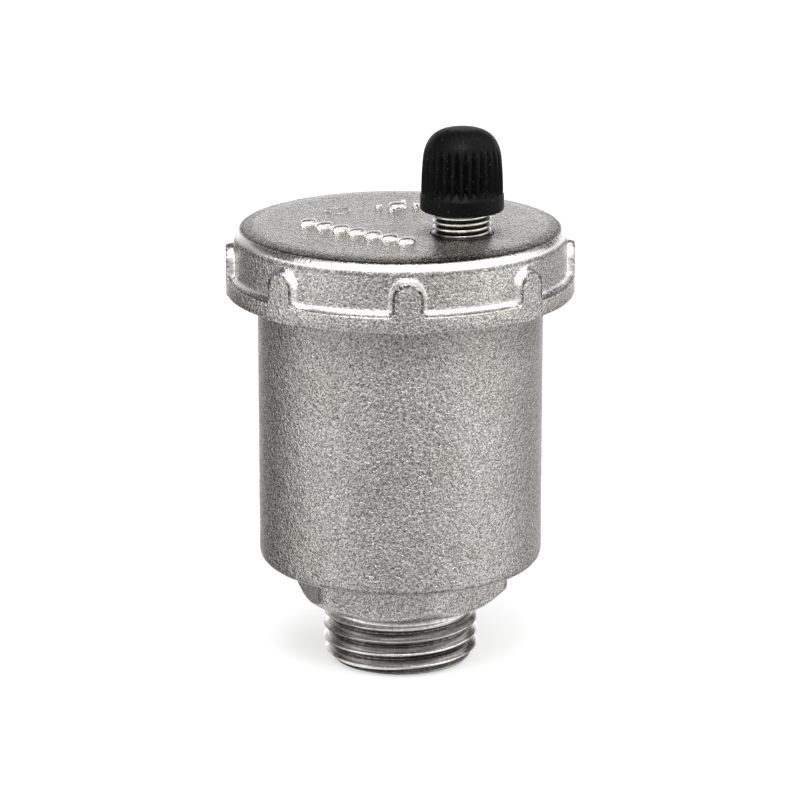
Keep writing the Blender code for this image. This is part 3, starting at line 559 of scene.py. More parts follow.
def block(x0, x1, y0, y1, z0, z1, bm=None):
    bm = bm or bmesh.new()
    made = bmesh.ops.create_cube(bm, size=1.0)
    bmesh.ops.scale(bm, vec=((x1 - x0) * MM, (y1 - y0) * MM, (z1 - z0) * MM), verts=made["verts"])
    bmesh.ops.translate(bm, vec=((x0 + x1) / 2 * MM, (y0 + y1) / 2 * MM, (z0 + z1) / 2 * MM),
                        verts=made["verts"])
    return bm


def rod(radius, a, b, segments=48, bm=None):
    bm = bm or bmesh.new()
    a, b = Vector(a) * MM, Vector(b) * MM
    turn = (b - a).to_track_quat("Z", "Y").to_matrix().to_4x4()
    bmesh.ops.create_cone(bm, cap_ends=True, segments=segments, radius1=radius * MM,
                          radius2=radius * MM, depth=(b - a).length,
                          matrix=Matrix.Translation((a + b) / 2) @ turn)
    return bm


def solid(name, bm, mats, sharp=40.0):
    bmesh.ops.recalc_face_normals(bm, faces=bm.faces)
    mesh = bpy.data.meshes.new(name)
    bm.to_mesh(mesh)
    bm.free()
    return show(name, mesh, mats, sharp)


def cut(obj, bm, operation="DIFFERENCE"):
    """Boolean with a throwaway tool, applied at once."""
    tool = solid("tool", bm, [])
    mod = obj.modifiers.new("cut", "BOOLEAN")
    mod.operation = operation
    mod.solver = "EXACT"
    mod.object = tool
    apply_modifiers(obj)
    data = tool.data
    bpy.data.objects.remove(tool, do_unlink=True)
    bpy.data.meshes.remove(data)
    obj.data.shade_smooth()
    obj.data.set_sharp_from_angle(angle=math.radians(40))
    return obj


# ------------------------------------------------------------------ float chamber with inlet thread

FLATS, CORNER_ANGLE, HEX_LOW, UNDERSIDE = 26.50, math.radians(21.1), 8.90, 14.20
INLET = dict(pitch=1.814, crest_z=1.768, crest_r=20.955 / 2, root_r=18.631 / 2)


def hexagon(a, shrink=0.0, fillet=3.0):
    """Radius of the hexagonal collar with its corners rounded off."""
    sixth = math.pi / 3
    off = np.abs(np.mod(a - CORNER_ANGLE, sixth) - sixth / 2)         # angle from the middle of a flat
    half = FLATS / 2 - shrink
    far = (half - fillet) / math.cos(sixth / 2)
    turn = sixth / 2 - off
    round_ = far * np.cos(turn) + np.sqrt(np.maximum(0.0, fillet ** 2 - (far * np.sin(turn)) ** 2))
    meet = math.atan(math.tan(sixth / 2) * (half - fillet) / half)
    return np.where(off < meet, half / np.cos(off), round_)


def collar_row(shrink, z, chamfer):
    """Row of the collar. chamfer is how much of the lower bevel's rise it takes."""
    def row(a):
        r = hexagon(a, shrink)
        rise = np.maximum(0.0, r - (FLATS / 2 - 0.25)) * math.tan(math.radians(42))
        return r, z + rise * chamfer
    return row


def set_painted_light(obj, rule):
    """Store along which steps of a casting shade is painted (towards 0) or a highlight is painted
    (towards 1). rule takes radius, height and angle."""
    co = np.zeros(len(obj.data.vertices) * 3)
    obj.data.vertices.foreach_get("co", co)
    co = co.reshape(-1, 3) / MM
    value = rule(np.hypot(co[:, 0], co[:, 1]), co[:, 2], np.arctan2(co[:, 1], co[:, 0]))
    obj.data.attributes.new("line", "FLOAT", "POINT").data.foreach_set("value", value.astype(np.float32))


def hump(x, low_, high_, soft):
    """1 between low_ and high_, falling off over soft."""
    return smooth((x - low_ + soft) / soft) * smooth((high_ + soft - x) / soft)


def build_body():
    end_r = 9.08
    rows = [(7.0, 0.9), (7.03, 0.45), (7.2, 0.18), (7.45, 0.02), (7.7, 0.0), (8.6, 0.0), (8.95, 0.02), (end_r, 0.06)]
    slots = [1] * len(rows)
    t = thread(z0=0.08, z1=7.42, limit=lambda z: end_r + 0.95 * z,
               fade=lambda z, r: r + (9.62 - r) * smooth((z - 6.15) / 1.15), **INLET)
    rows += t
    slots += [1] * len(t)
    neck = [(9.62, 7.6), (9.62, 8.3), (9.66, 8.6), (9.80, 8.80), (10.05, 8.89)]
    rows += neck
    slots += [3] * 3 + [0] * 2
    rest = line((10.05, 8.89), (12.9, 8.90), 8)
    rest += [collar_row(0.16, 8.92, 1.0), collar_row(0.06, 8.97, 1.0), collar_row(0.0, 9.10, 1.0)]
    for k in range(1, 15):
        rest.append(collar_row(0.0, 9.10 + (13.45 - 9.10) * k / 14, 1.0 - k / 14))
    rest += [collar_row(-0.03, 13.66, 0), collar_row(-0.10, 13.84, 0), collar_row(-0.22, 14.00, 0),
             collar_row(-0.40, 14.12, 0), collar_row(-0.65, 14.19, 0)]
    rest += line((16.3, UNDERSIDE), (BODY_R - 1.5, UNDERSIDE), 3)
    rest += arc(BODY_R - 1.5, UNDERSIDE + 1.5, 1.5, -90, 0, 8)[1:]
    rest += line((BODY_R, UNDERSIDE + 1.5), (BODY_R, 50.45), 100)
    rest += arc(BODY_R - 0.35, 50.55, 0.35, 0, 90, 4)
    rows += rest
    slots += [0] * len(rest)
    more = [(18.4, 50.9), (18.15, 50.95), (18.05, 51.1)]
    more += thread(1.5, 52.60, 18.90, 18.05, 51.4, RIM_Z - 0.02,
                   limit=lambda z: 18.05 + 0.05 + (RIM_Z - z))
    more += [(18.0, RIM_Z), (17.1, RIM_Z), (16.95, RIM_Z - 0.08), (16.90, RIM_Z - 0.25)]
    more += line((16.9, RIM_Z - 0.25), (16.9, 18.6), 24)
    more += arc(15.4, 18.5, 1.5, 0, -90, 6)
    more += line((15.4, 17.0), (7.6, 17.0), 8)
    more += [(7.25, 16.93), (7.05, 16.75), (7.0, 16.4)]
    more += line((7.0, 16.4), (7.0, 0.9), 8)[:-1]
    rows += more
    slots += [2] * (len(more) - 44) + [0] * 34 + [3] * 10
    obj = lathe("body_casting", rows, 384, [M_CAST, M_THREAD, M_NECK, M_SHANK], start=CORNER_ANGLE, slots=slots,
                sharp=50)

    def cast(co):
        z, r = co[:, 2], np.hypot(co[:, 0], co[:, 1])
        w = smooth((z - 8.75) / 0.4) * smooth((50.7 - z) / 0.6)
        return w * (r > 10.2)
    unevenness(obj, cast, 0.07, 1.6, "chamber_cast")

    def lines(r, z, a):
        turn = np.degrees(np.arctan2(z - UNDERSIDE - 1.5, r - BODY_R + 1.5))
        low_edge = (r > BODY_R - 1.6) * (z < UNDERSIDE + 1.6)
        # painted highlight on the chamber's lower fillet, with painted shade just above it
        value = 0.5 + low_edge * (0.46 * hump(turn, -86, -62, 6) - 0.30 * hump(turn, -50, -28, 10))
        # painted highlight along the collar's top edge
        return value + (r < 16.2) * (r > 11) * 0.46 * hump(z, 13.60, 14.12, 0.12)
    set_painted_light(obj, lines)
    return stand_in(obj, "housing", "body")


# ------------------------------------------------------------------ lid

WALL_R, PADS, PAD_START = 22.08, 8, math.radians(-8.0)


TOP_FLAT, TOP_DOME, TOP_EDGE = 18.14, 14.0, 1.3        # flat radius, dome radius, edge radius
EDGE_R, EDGE_Z = WALL_R - TOP_EDGE, LID_TOP - TOP_DOME * (1 - math.sin(math.radians(78))) - TOP_EDGE * math.sin(
    math.radians(78))
LEDGE_R, LEDGE_Z, LEDGE = WALL_R + 0.97, 54.40, 0.95


def lid_profile():
    """Outer profile from the top edge down, before the pads."""
    top = arc(TOP_FLAT, LID_TOP - TOP_DOME, TOP_DOME, 90, 78, 10) + arc(EDGE_R, EDGE_Z, TOP_EDGE, 78, 4, 16)[1:]
    wall = line(top[-1], (WALL_R + 0.02, LEDGE_Z), 44)
    ledge = arc(LEDGE_R, LEDGE_Z, LEDGE, 180, 260, 14)
    ledge += rounded([ledge[-1], (BAND_R - 0.03, 53.42), (BAND_R - 0.02, 52.4), (BAND_R - 0.05, LID_LOW),
                      (22.0, LID_LOW)], 0.4, 7, {1: 0.34, 3: 0.42})[1:]
    return top, wall, ledge[1:]


def lid_columns():
    """Column angles of the lid, crowded where the grip pads' sides stand."""
    sector = TAU / PADS
    half = np.concatenate([np.linspace(0, 1.50, 4)[:-1], np.linspace(1.50, 3.05, 24)]) / 23.0
    gap = np.linspace(3.05 / 23.0, sector / 2, 12)[1:]
    right = np.concatenate([half, gap])
    one = np.concatenate([-right[1:-1][::-1], right])
    return np.concatenate([PAD_START + sector * k + one for k in range(PADS)])


def pad_distance(a, z):
    """Distance out from the outline of the arch-topped grip pads, and which side of the pad it is."""
    sector = TAU / PADS
    off = np.mod(a - PAD_START + sector / 2, sector) - sector / 2
    u = np.abs(off) * 23.0
    half, top = 2.02, 57.92
    up = np.maximum(0.0, z - (top - half))
    return np.hypot(u, up) - half - 0.020 * (58.0 - z), off * 23.0, up


def pad_height(a, z):
    """Height of the grip pads over the wall, 0 to 1: arch-topped tongues with a steep side that
    runs out in a wide fillet."""
    d = pad_distance(a, z)[0]
    return np.exp(-(np.maximum(0.0, d + 0.10) / 0.27) ** 1.45)


def build_lid():
    top, wall, ledge = lid_profile()

    def outer(p):
        r0, z0 = p

        def row(a):
            z = np.full_like(a, z0)
            return r0 + max(0.0, BAND_R - 0.02 - r0) * pad_height(a, z), z
        return row

    rows = [(0, LID_TOP)] + line((0, LID_TOP), (TOP_FLAT, LID_TOP), 26) + top[1:]
    rows += [outer(p) for p in wall + ledge[:-1]]
    slots = [0] * len(rows)
    under = [(22.2, LID_LOW), (20.4, LID_LOW), (19.75, LID_LOW + 0.02), (19.6, LID_LOW + 0.12)]
    under += thread(1.5, 52.60, 19.12, 18.27, LID_LOW + 0.42, RIM_Z - 0.3)
    under += [(19.2, RIM_Z), (19.2, 57.9), (19.1, 58.12), (18.9, 58.2)]
    rows += under
    slots += [0] + [1] * (len(under) - 1)
    inner = rounded([(18.9, 58.2), (16.3, 58.2), (16.3, 57.2), (0, 57.2)], 0.25, 4)[1:]
    inner = inner[:-1] + line(inner[-2], (0.0, 57.2), 12)
    rows += inner
    slots += [0] * len(inner)
    obj = lathe("lid_casting", rows, lid_columns(), [M_LID, M_NECK], slots=slots, sharp=55)

    def cast(co):
        z, r = co[:, 2], np.hypot(co[:, 0], co[:, 1])
        near = np.hypot(co[:, 0] - NOZ.x, co[:, 1])
        return (r > 19.5) * 1.0 * (z > LID_LOW + 0.3) + (z > LID_TOP - 0.2) * (r <= 19.5) * 0.1 * smooth((near - 4.8) / 1.5)
    unevenness(obj, cast, 0.06, 1.6, "lid_cast")
    cut(obj, rod(2.96, (NOZ.x, 0, 55), (NOZ.x, 0, 62), 64))
    cut(obj, rod(4.24, (NOZ.x, 0, LID_TOP - 0.56), (NOZ.x, 0, 62), 96))
    bm = bmesh.new()
    for side in (-1, 1):
        rod(1.10, (10.05, side * 6.7, 56), (10.05, side * 6.7, 59.5), 32, bm)
    cut(obj, bm)

    def lines(r, z, a):
        out = r > 18.0
        turn = np.degrees(np.arctan2(z - EDGE_Z, r - EDGE_R))
        edge = out * (z > EDGE_Z - 0.5) * (r > EDGE_R - 0.2)
        # painted highlight on the top edge's fillet, with painted shade on either side of it
        value = 0.5 + edge * (0.40 * hump(turn, 14, 56, 8) - 0.34 * hump(turn, 70, 86, 6)
                              - 0.20 * hump(turn, -14, -3, 6))
        # painted shade on the flat top just inside the edge
        value -= out * (z > LID_TOP - 0.5) * 0.30 * hump(r, 20.1, EDGE_R + 0.2, 0.8)
        d, way, up = pad_distance(a, z)
        step = out * (z < 58.6) * (z > 53.9)
        high_up = smooth(up / 1.6)
        left = smooth(-way / 1.2)
        # painted highlight round each grip pad and painted shade inside its outline, darker on the pad's left side
        value += step * (0.34 + 0.12 * high_up) * hump(d, 0.06, 0.36, 0.14)
        value -= step * (0.36 + 0.12 * high_up * left) * hump(d, -0.36, -0.12, 0.12)
        round_ = np.degrees(np.arctan2(LEDGE_Z - z, LEDGE_R - r))
        ledge = out * (z < LEDGE_Z) * (z > 53.25) * (1 - pad_height(a, z)) * (r > WALL_R - 0.1)
        # painted highlight along the ledge, with painted shade below it
        value += ledge * (0.40 * hump(round_, 24, 54, 8) - 0.34 * hump(round_, 74, 88, 6))
        # painted shade round the nozzle's foot
        near = np.hypot(r * np.cos(a) - NOZ.x, r * np.sin(a))
        value -= (z > LID_TOP - 0.7) * (0.22 * hump(near, 3.0, 4.6, 0.8) + 0.20 * hump(near, 3.0, 5.2, 2.4))
        # darker along the band's lower edge
        value -= out * (r > BAND_R - 0.35) * hump(z, LID_LOW + 0.35, LID_LOW + 0.75, 0.3) * 0.10
        return value
    set_painted_light(obj, lines)
    return stand_in(obj, "lid_group", "lid")


def build_lid_marks():
    """Generic raised casting marks: a slanted row of lozenges, a small group
    at the back and the faint ring an ejector leaves."""
    a = math.radians(CAMERA_AZIMUTH)
    right = Vector((math.cos(a), math.sin(a)))
    near = Vector((math.sin(a), -math.cos(a)))
    bm = bmesh.new()

    def place(u, v):
        return right * u + near * v

    def bead(points, width, height, closed=True, sink=0.10, sides=10):
        """Half-round bead along points given in the lid's plane."""
        fine = []
        count = len(points)
        for i in range(count if closed else count - 1):
            p, q = points[i], points[(i + 1) % count]
            for k in range(5):
                fine.append(p.lerp(q, k / 5))
        if not closed:
            fine.append(points[-1])
        for _ in range(2):                            # soften the corners
            fine = [f if not closed and i in (0, len(fine) - 1) else
                    (fine[i - 1] + f * 2 + fine[(i + 1) % len(fine)]) / 4 for i, f in enumerate(fine)]
        rings = []
        for i, p in enumerate(fine):
            ahead = fine[(i + 1) % len(fine)] if closed or i < len(fine) - 1 else p
            back = fine[i - 1] if closed or i > 0 else p
            t = (ahead - back).normalized()
            out = Vector((-t.y, t.x))
            rings.append([bm.verts.new(((p.x + out.x * width / 2 * math.cos(TAU * k / sides)) * MM,
                                        (p.y + out.y * width / 2 * math.cos(TAU * k / sides)) * MM,
                                        (LID_TOP - sink + height * math.sin(TAU * k / sides)) * MM))
                          for k in range(sides)])
        pairs = list(zip(rings, rings[1:])) + ([(rings[-1], rings[0])] if closed else [])
        for one, two in pairs:
            for k in range(sides):
                j = (k + 1) % sides
                bm.faces.new((one[k], one[j], two[j], two[k]))
        if not closed:
            bm.faces.new(rings[0])
            bm.faces.new(rings[-1])

    along = Vector((13.0, 10.4)).normalized()         # the row's run, in (right, near)
    across = Vector((-along.y, along.x))

    def gem(centre, scale_along, scale_across, height=0.62):
        """Solid lozenge with a domed top and rounded corners."""
        steps, rings = 40, []
        for level, size in ((-0.10, 1.0), (0.10, 0.97), (0.30, 0.86), (0.42, 0.70), (0.48, 0.45), (0.50, 0.2)):
            ring = []
            for k in range(steps):
                t = TAU * k / steps
                c, q = math.cos(t), math.sin(t)
                k_ = (abs(c) ** 1.35 + abs(q) ** 1.35) ** (-1 / 1.35) * size
                uv = Vector(centre) + along * c * k_ * scale_along + across * q * k_ * scale_across
                p = place(uv.x, uv.y)
                ring.append(bm.verts.new((p.x * MM, p.y * MM, (LID_TOP + level * height / 0.5) * MM)))
            rings.append(ring)
        for one, two in zip(rings, rings[1:]):
            for k in range(steps):
                j = (k + 1) % steps
                bm.faces.new((one[k], one[j], two[j], two[k]))
        bm.faces.new(rings[0])
        bm.faces.new(rings[-1])

    start = Vector((-12.2, 0.2))
    for n in range(7):
        gem(start + along * (2.78 * n), 1.22, 1.70)
        if n < 6:
            gem(start + along * (2.78 * n + 1.39), 0.42, 0.55, 0.45)
    gem((-0.4, -9.9), 1.50, 1.75)
    for x, y in ((-2.9, -9.4), (2.1, -10.4), (-1.1, -7.7), (0.3, -12.1)):
        gem((x, y), 0.62, 0.62, 0.5)
    centre = place(-8.5, -7.5)
    bead([centre + Vector((1.7 * math.cos(TAU * k / 32), 1.7 * math.sin(TAU * k / 32)))
          for k in range(32)], 0.34, 0.13, sink=0.07)
    obj = solid("lid_casting_marks", bm, [M_MARK], 80)
    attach(obj, "lid_group")
    return obj


# ------------------------------------------------------------------ nozzle, cap and their seals

def build_nozzle():
    c = (NOZ.x, NOZ.y)
    rows = [(0.6, SEAT_Z + 0.03), (0.64, SEAT_Z), (1.22, SEAT_Z), (1.32, SEAT_Z + 0.05), (1.60, SEAT_Z + 0.4),
            (2.6, SEAT_Z + 0.4), (2.9, SEAT_Z + 0.7), (2.9, LID_TOP - 0.04), (4.0, LID_TOP - 0.04),
            (4.05, LID_TOP), (4.05, LID_TOP + 0.10), (4.0, LID_TOP + 0.16)]
    rows += thread(0.79375, 63.23, 3.85, 3.36, LID_TOP + 0.2, NOZ_TOP - 0.02,
                   limit=lambda z: 3.15 + 1.2 * (NOZ_TOP - z), profile=ROUNDED)
    rows += [(3.1, NOZ_TOP), (1.75, NOZ_TOP), (1.55, NOZ_TOP - 0.08), (1.25, NOZ_TOP - 0.4),
             (1.25, 58.6), (0.6, 57.9)]
    obj = lathe("vent_nozzle_turned", rows, 112, [M_NOZZLE], centre=c, sharp=45)
    return stand_in(obj, "lid_group", "vent_nozzle")


def build_cap():
    flutes = 28
    dome = [(0.0, 74.60), (1.0, 74.58), (1.9, 74.49), (2.6, 74.33), (3.2, 74.08), (3.75, 73.73),
            (4.20, 73.28), (4.55, 72.76), (4.82, 72.18), (5.0, 71.6), (5.12, 71.0), (5.20, 70.3),
            (5.27, 69.4), (5.34, 68.4), (5.39, 67.4), (5.43, 66.6), (5.46, 65.0)]
    zs = np.array([p[1] for p in dome])[::-1]
    rs = np.array([p[0] for p in dome])[::-1]

    def side(z0):
        def row(a):
            z = np.full_like(a, z0)
            crest = np.full_like(a, np.interp(z0, zs, rs))
            phase = np.mod(a / TAU * flutes + 0.5, 1.0) - 0.5
            u = np.abs(phase) * TAU * 5.0 / flutes           # distance from the groove's centre line
            vee = 4.60 + 0.012 * (72.5 - z0) + 1.30 * np.sqrt(u * u + 0.004)
            r = soft_min(crest, vee, 0.10)
            band = 5.53 - max(0.0, z0 - 65.70) * 0.72
            return soft_max(r, np.full_like(a, band), 0.05), z
        return row

    rows = [(0, CAP_TOP)]
    for r in (0.35, 0.7, 1.1, 1.5, 1.9, 2.3, 2.7, 3.1, 3.4, 3.7, 3.95):
        rows.append((r, float(np.interp(-r, -rs, zs))))
    for z in np.linspace(73.35, 72.0, 16)[:-1]:
        rows.append(side(float(z)))
    for z in np.linspace(72.0, 67.2, 28)[:-1]:
        rows.append(side(float(z)))
    for z in np.linspace(67.2, 65.62, 18):
        rows.append(side(float(z)))
    low_edge = rounded([(CAP_R, 65.6), (CAP_R, CAP_LOW), (4.35, CAP_LOW), (3.98, CAP_LOW + 0.4),
                        (3.98, CAP_LOW + 0.8)], 0.12, 4, {1: 0.28})
    rows += low_edge[1:]
    rows += thread(0.79375, 63.23, 4.32, 3.99, CAP_LOW + 0.85, 71.2)
    rows += [(3.98, 71.25), (3.98, 72.15), (3.83, 72.3), (2.0, 72.3), (0, 72.3)]
    obj = lathe("vent_cap_moulding", rows, flutes * 14, [M_CAP], centre=(NOZ.x, NOZ.y), sharp=60)
    stand_in(obj, "cap", "vent_cap")

    # small plain moulded pips left round the gate on the dome
    bm = bmesh.new()
    for k in range(5):
        t = math.radians(CAMERA_AZIMUTH - 150 + 30 * k)
        r = 2.3
        z = float(np.interp(-r, -rs, zs))
        made = bmesh.ops.create_uvsphere(bm, u_segments=14, v_segments=10, radius=0.24 * MM)
        bmesh.ops.translate(bm, vec=Vector((NOZ.x + r * math.cos(t), r * math.sin(t), z - 0.14)) * MM,
                            verts=made["verts"])
    pips = solid("vent_cap_gate_pips", bm, [M_CAP], 80)
    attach(pips, "cap")


def build_turned(name, node, body, mat, points, columns=96, centre=None, radius=0.12, radii=None,
                 steps=3, closed=False):
    pts = rounded(points + [points[0]] if closed else points, radius, steps, radii)
    if closed:
        pts = pts[:-1]
    obj = lathe(name, pts, columns, [mat], centre=centre or (NOZ.x, NOZ.y), sharp=45)
    return stand_in(obj, body, node)


def build_seals():
    build_turned("nozzle_sealing_washer", "nozzle_seal", "lid_group", M_FIBRE,
                 [(3.02, 60.16), (3.02, 59.95), (4.20, 59.95), (4.20, 60.37), (3.02, 60.37)], 72,
                 radius=0.06, closed=True)
    build_turned("cap_sealing_disc", "cap_seal", "cap_seal_disc", M_RUBBER,
                 [(0, 71.30), (1.9, 71.30), (2.2, 71.42), (3.7, 71.30), (3.7, 72.20), (0, 72.20)], 72,
                 radius=0.14)
    z = (low("lid_o_ring").z + high("lid_o_ring").z) / 2
    rows = arc(17.60, z, 0.55, 0, 345, 23)
    obj = lathe("lid_sealing_ring", rows, 192, [M_RUBBER], sharp=80)
    stand_in(obj, "lid_seal", "lid_o_ring")


# ------------------------------------------------------------------ valve gear and float

def build_valve():
    build_turned("valve_holder_turned", "valve_holder", "valve", M_BRASS,
                 [(0, 45.20), (0.9, 45.20), (0.90, 50.30), (2.10, 50.30), (2.10, 50.85), (1.20, 50.85),
                  (1.20, 52.95), (2.40, 52.95), (2.40, 54.50), (2.00, 54.50), (2.00, 53.25), (0, 53.25)],
                 72, radius=0.10, radii={1: 0.35})
    build_turned("valve_pad_rubber_disc", "valve_pad", "valve", M_PAD,
                 [(0, 53.30), (1.90, 53.30), (1.90, 54.77), (1.0, 54.77), (0.9, 54.74), (0, 54.74)], 64,
                 radius=0.12)


def build_spring():
    z0, z1 = 47.40 + 0.23, 50.30 - 0.23
    turns, around, ring = 4, 40, 12
    steps = turns * around
    pts = []
    for i in range(steps + 1):
        a = TAU * i / around
        t = min(max((i - around / 2) / (steps - around), 0.0), 1.0)
        pts.append(Vector((NOZ.x + 1.55 * math.cos(a), 1.55 * math.sin(a), z0 + (z1 - z0) * t)))
    bm = bmesh.new()
    rings = []
    for i, p in enumerate(pts):
        tangent = (pts[min(i + 1, steps)] - pts[max(i - 1, 0)]).normalized()
        out = Vector((p.x - NOZ.x, p.y, 0)).normalized()
        up = tangent.cross(out).normalized()
        rings.append([bm.verts.new((p + out * 0.2 * math.cos(TAU * k / ring)
                                    + up * 0.2 * math.sin(TAU * k / ring)) * MM) for k in range(ring)])
    for one, two in zip(rings, rings[1:]):
        for k in range(ring):
            j = (k + 1) % ring
            bm.faces.new((one[k], one[j], two[j], two[k]))
    bm.faces.new(rings[0])
    bm.faces.new(rings[-1])
    obj = solid("valve_spring_coil", bm, [M_WIRE], 50)
    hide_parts("valve_spring")
    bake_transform(obj)


def build_bracket():
    top, bottom = 57.15, 56.35
    outline = [(6.8, top), (6.8, 50.6), (7.6, 46.6), (12.1, 46.6), (12.7, 49.6), (15.0, 50.3),
               (15.9, 51.3), (15.9, top)]
    soft = rounded(outline[1:-1], 0.6, 4)
    obj = solid("lever_bracket_stamping", prism_xz([outline[0]] + soft + [outline[-1]], -3.9, 3.9), [M_SHEET])
    cut(obj, block(0, 20, -3.1, 3.1, 47.4, 61))
    bm = bmesh.new()
    for side in (-1, 1):
        y = sorted((side * 3.5, side * 9.3))
        block(7.5, 12.6, y[0], y[1], bottom, top, bm)
    cut(obj, bm, "UNION")
    bm = bmesh.new()
    for side in (-1, 1):
        rod(1.15, (10.05, side * 6.7, 54), (10.05, side * 6.7, 59), 40, bm)
    rod(1.02, (NOZ.x, 0, 45), (NOZ.x, 0, 48.6), 40, bm)
    rod(0.86, (PIVOT.x, -6, PIVOT.z), (PIVOT.x, 6, PIVOT.z), 40, bm)
    cut(obj, bm)
    bevelled(obj, 0.12)
    stand_in(obj, "lid_group", "lever_bracket")


def build_screw(name, node, body, x, y, z, head_r, head_h, shank_r, length, up, pitch=0.45):
    pts = [(0, 0.0), (head_r, 0.0), (head_r, head_h), (shank_r, head_h)]
    rows = rounded(pts, 0.3, 4, {1: 0.35, 2: 0.1})
    rows[-1] = (shank_r * 0.86, head_h + 0.05)
    rows += thread(pitch, 0.0, shank_r, shank_r * 0.80, head_h + 0.1, length - 0.25)
    rows += [(shank_r * 0.6, length), (0, length)]
    obj = lathe(name, rows, 48, [M_TURNED], centre=(0, 0), sharp=45)
    cut(obj, block(-0.22, 0.22, -3, 3, -1, 0.45))
    obj.data.transform(Matrix.Rotation(0.0 if up > 0 else math.pi, 4, "X"))
    obj.data.transform(Matrix.Translation(Vector((x, y, z)) * MM))
    stand_in(obj, body, node)


def build_lever():
    xs = set()
    bosses = ((0.0, 1.9), (-VALVE_ARM, 0.9), (-LINK_ARM, 1.8))
    for c, r in bosses:
        reach = math.sqrt(r * r - 0.49)
        xs |= {round(c + reach * math.cos(math.pi * i / 16), 5) for i in range(17)}

    def half_height(x):
        h = 0.7
        for c, r in bosses:
            if abs(x - c) < r:
                h = max(h, math.sqrt(r * r - (x - c) ** 2))
        return h
    xs = sorted(xs)
    ends = [-LINK_ARM - 1.8 * math.cos(v) for v in np.radians((8, 16))]
    top = [(x, half_height(x)) for x in xs]
    outline = [(-LINK_ARM - 1.8, 0.0), (-LINK_ARM - 1.72, 0.45)] + top + [(1.84, 0.42), (1.9, 0.0), (1.84, -0.42)]
    outline += [(x, -h) for x, h in reversed(top)] + [(-LINK_ARM - 1.72, -0.45)]
    obj = solid("lever_moulding", prism_xz(outline, -2.6, 2.6), [M_LEVER])
    bm = block(-7.2, 4, -1.4, 1.4, -4, 4)
    for side in (-1, 1):
        y = sorted((side * 1.3, side * 4))
        block(-20, -8.4, y[0], y[1], -4, 4, bm)
    cut(obj, bm)
    bm = rod(0.86, (0, -6, 0), (0, 6, 0), 40)
    rod(1.00, (-LINK_ARM, -6, 0), (-LINK_ARM, 6, 0), 40, bm)
    cut(obj, bm)
    bevelled(obj, 0.14)
    obj.data.transform(Matrix.Translation(PIVOT * MM) @ Matrix.Rotation(-SWING, 4, "Y"))
    stand_in(obj, "lever_arm", "lever")


def build_pin(name, node, body, x, z, head_y, face_y, clip_y, end_y):
    pts = [(0, head_y), (1.35, head_y), (1.35, face_y), (0.8, face_y), (0.8, clip_y), (0.6, clip_y),
           (0.6, clip_y + 0.4), (0.8, clip_y + 0.4), (0.8, end_y), (0, end_y)]
    obj = lathe(name, rounded(pts, 0.05, 3, {1: 0.2, 8: 0.2}), 48, [M_TURNED], sharp=45)
    obj.data.transform(Matrix.Translation(Vector((x, 0, z)) * MM) @ Matrix.Rotation(-math.pi / 2, 4, "X"))
    stand_in(obj, body, node)


def build_clip(name, node, body, x, z, clip_y):
    """Open retaining clip with three inner lugs."""
    bm = bmesh.new()
    steps, opening = 60, math.radians(70)
    rings = []
    for i in range(steps + 1):
        a = opening / 2 + (TAU - opening) * i / steps
        s = i / steps
        lug = max(0.0, 1 - abs(((s * 2) % 1.0) - 0.0) / 0.12, 1 - abs(((s * 2) % 1.0) - 1.0) / 0.12)
        inner = 0.88 - 0.22 * smooth(min(1.0, lug * 1.6))
        outer = 1.55
        rings.append([bm.verts.new((r * math.cos(a) * MM, r * math.sin(a) * MM, y * MM)) for r, y in
                      ((inner, clip_y + 0.06), (outer, clip_y + 0.06), (outer, clip_y + 0.34),
                       (inner, clip_y + 0.34))])
    for one, two in zip(rings, rings[1:]):
        for k in range(4):
            j = (k + 1) % 4
            bm.faces.new((one[k], one[j], two[j], two[k]))
    bm.faces.new(rings[0])
    bm.faces.new(rings[-1])
    obj = solid(name, bm, [M_SHEET])
    bevelled(obj, 0.05)
    obj.data.transform(Matrix.Translation(Vector((x, 0, z)) * MM) @ Matrix.Rotation(-math.pi / 2, 4, "X"))
    stand_in(obj, body, node)


def build_hanger():
    base = FLOAT_TOP + 0.10
    outline = [(-3.0, base + 0.7), (-3.0, base), (3.0, base), (3.0, base + 0.7), (1.8, base + 1.6)]
    outline += arc(0, LINK_Z, 1.8, 0, 180, 24)
    outline += [(-1.8, base + 1.6)]
    obj = solid("float_hanger_stamping", prism_xz(outline, -2.2, 2.2), [M_SHEET])
    cut(obj, block(-6, 6, -1.5, 1.5, base + 0.7, base + 20))
    bm = rod(0.86, (0, -5, LINK_Z), (0, 5, LINK_Z), 40)
    rod(0.85, (0, 0, base - 2), (0, 0, base + 2), 32, bm)
    cut(obj, bm)
    bevelled(obj, 0.12)
    stand_in(obj, "float", "float_hanger")


def build_float():
    r, z = FLOAT_R, FLOAT_LOW
    joint = high("float_shell").z
    pts = [(0, z), (3.0, z), (3.4, z + 0.25), (9.5, z + 0.25), (10.0, z), (r, z), (r, joint - 1.2),
           (r, joint), (r - 1.1, joint), (r - 1.1, z + 1.3), (0, z + 1.3)]
    build_turned("float_shell_moulding", "float_shell", "float", M_FLOAT, pts, 160, (0, 0),
                 0.2, {5: 2.0, 7: 0.12, 9: 1.1}, 6)
    pts = [(0, 36.6), (0.8, 36.6), (0.8, FLOAT_TOP), (3.4, FLOAT_TOP), (11.2, FLOAT_TOP),
           (11.5, FLOAT_TOP - 0.22), (12.6, FLOAT_TOP - 0.22), (12.9, FLOAT_TOP), (r, FLOAT_TOP),
           (r, joint + 0.05), (r - 1.2, joint + 0.05), (r - 1.2, 38.6), (r - 2.0, 38.6),
           (r - 2.0, joint + 0.05), (2.3, joint + 0.05), (2.3, 35.9), (0, 35.9)]
    build_turned("float_cover_moulding", "float_cover", "float", M_FLOAT, pts, 160, (0, 0),
                 0.12, {8: 0.6}, 5)


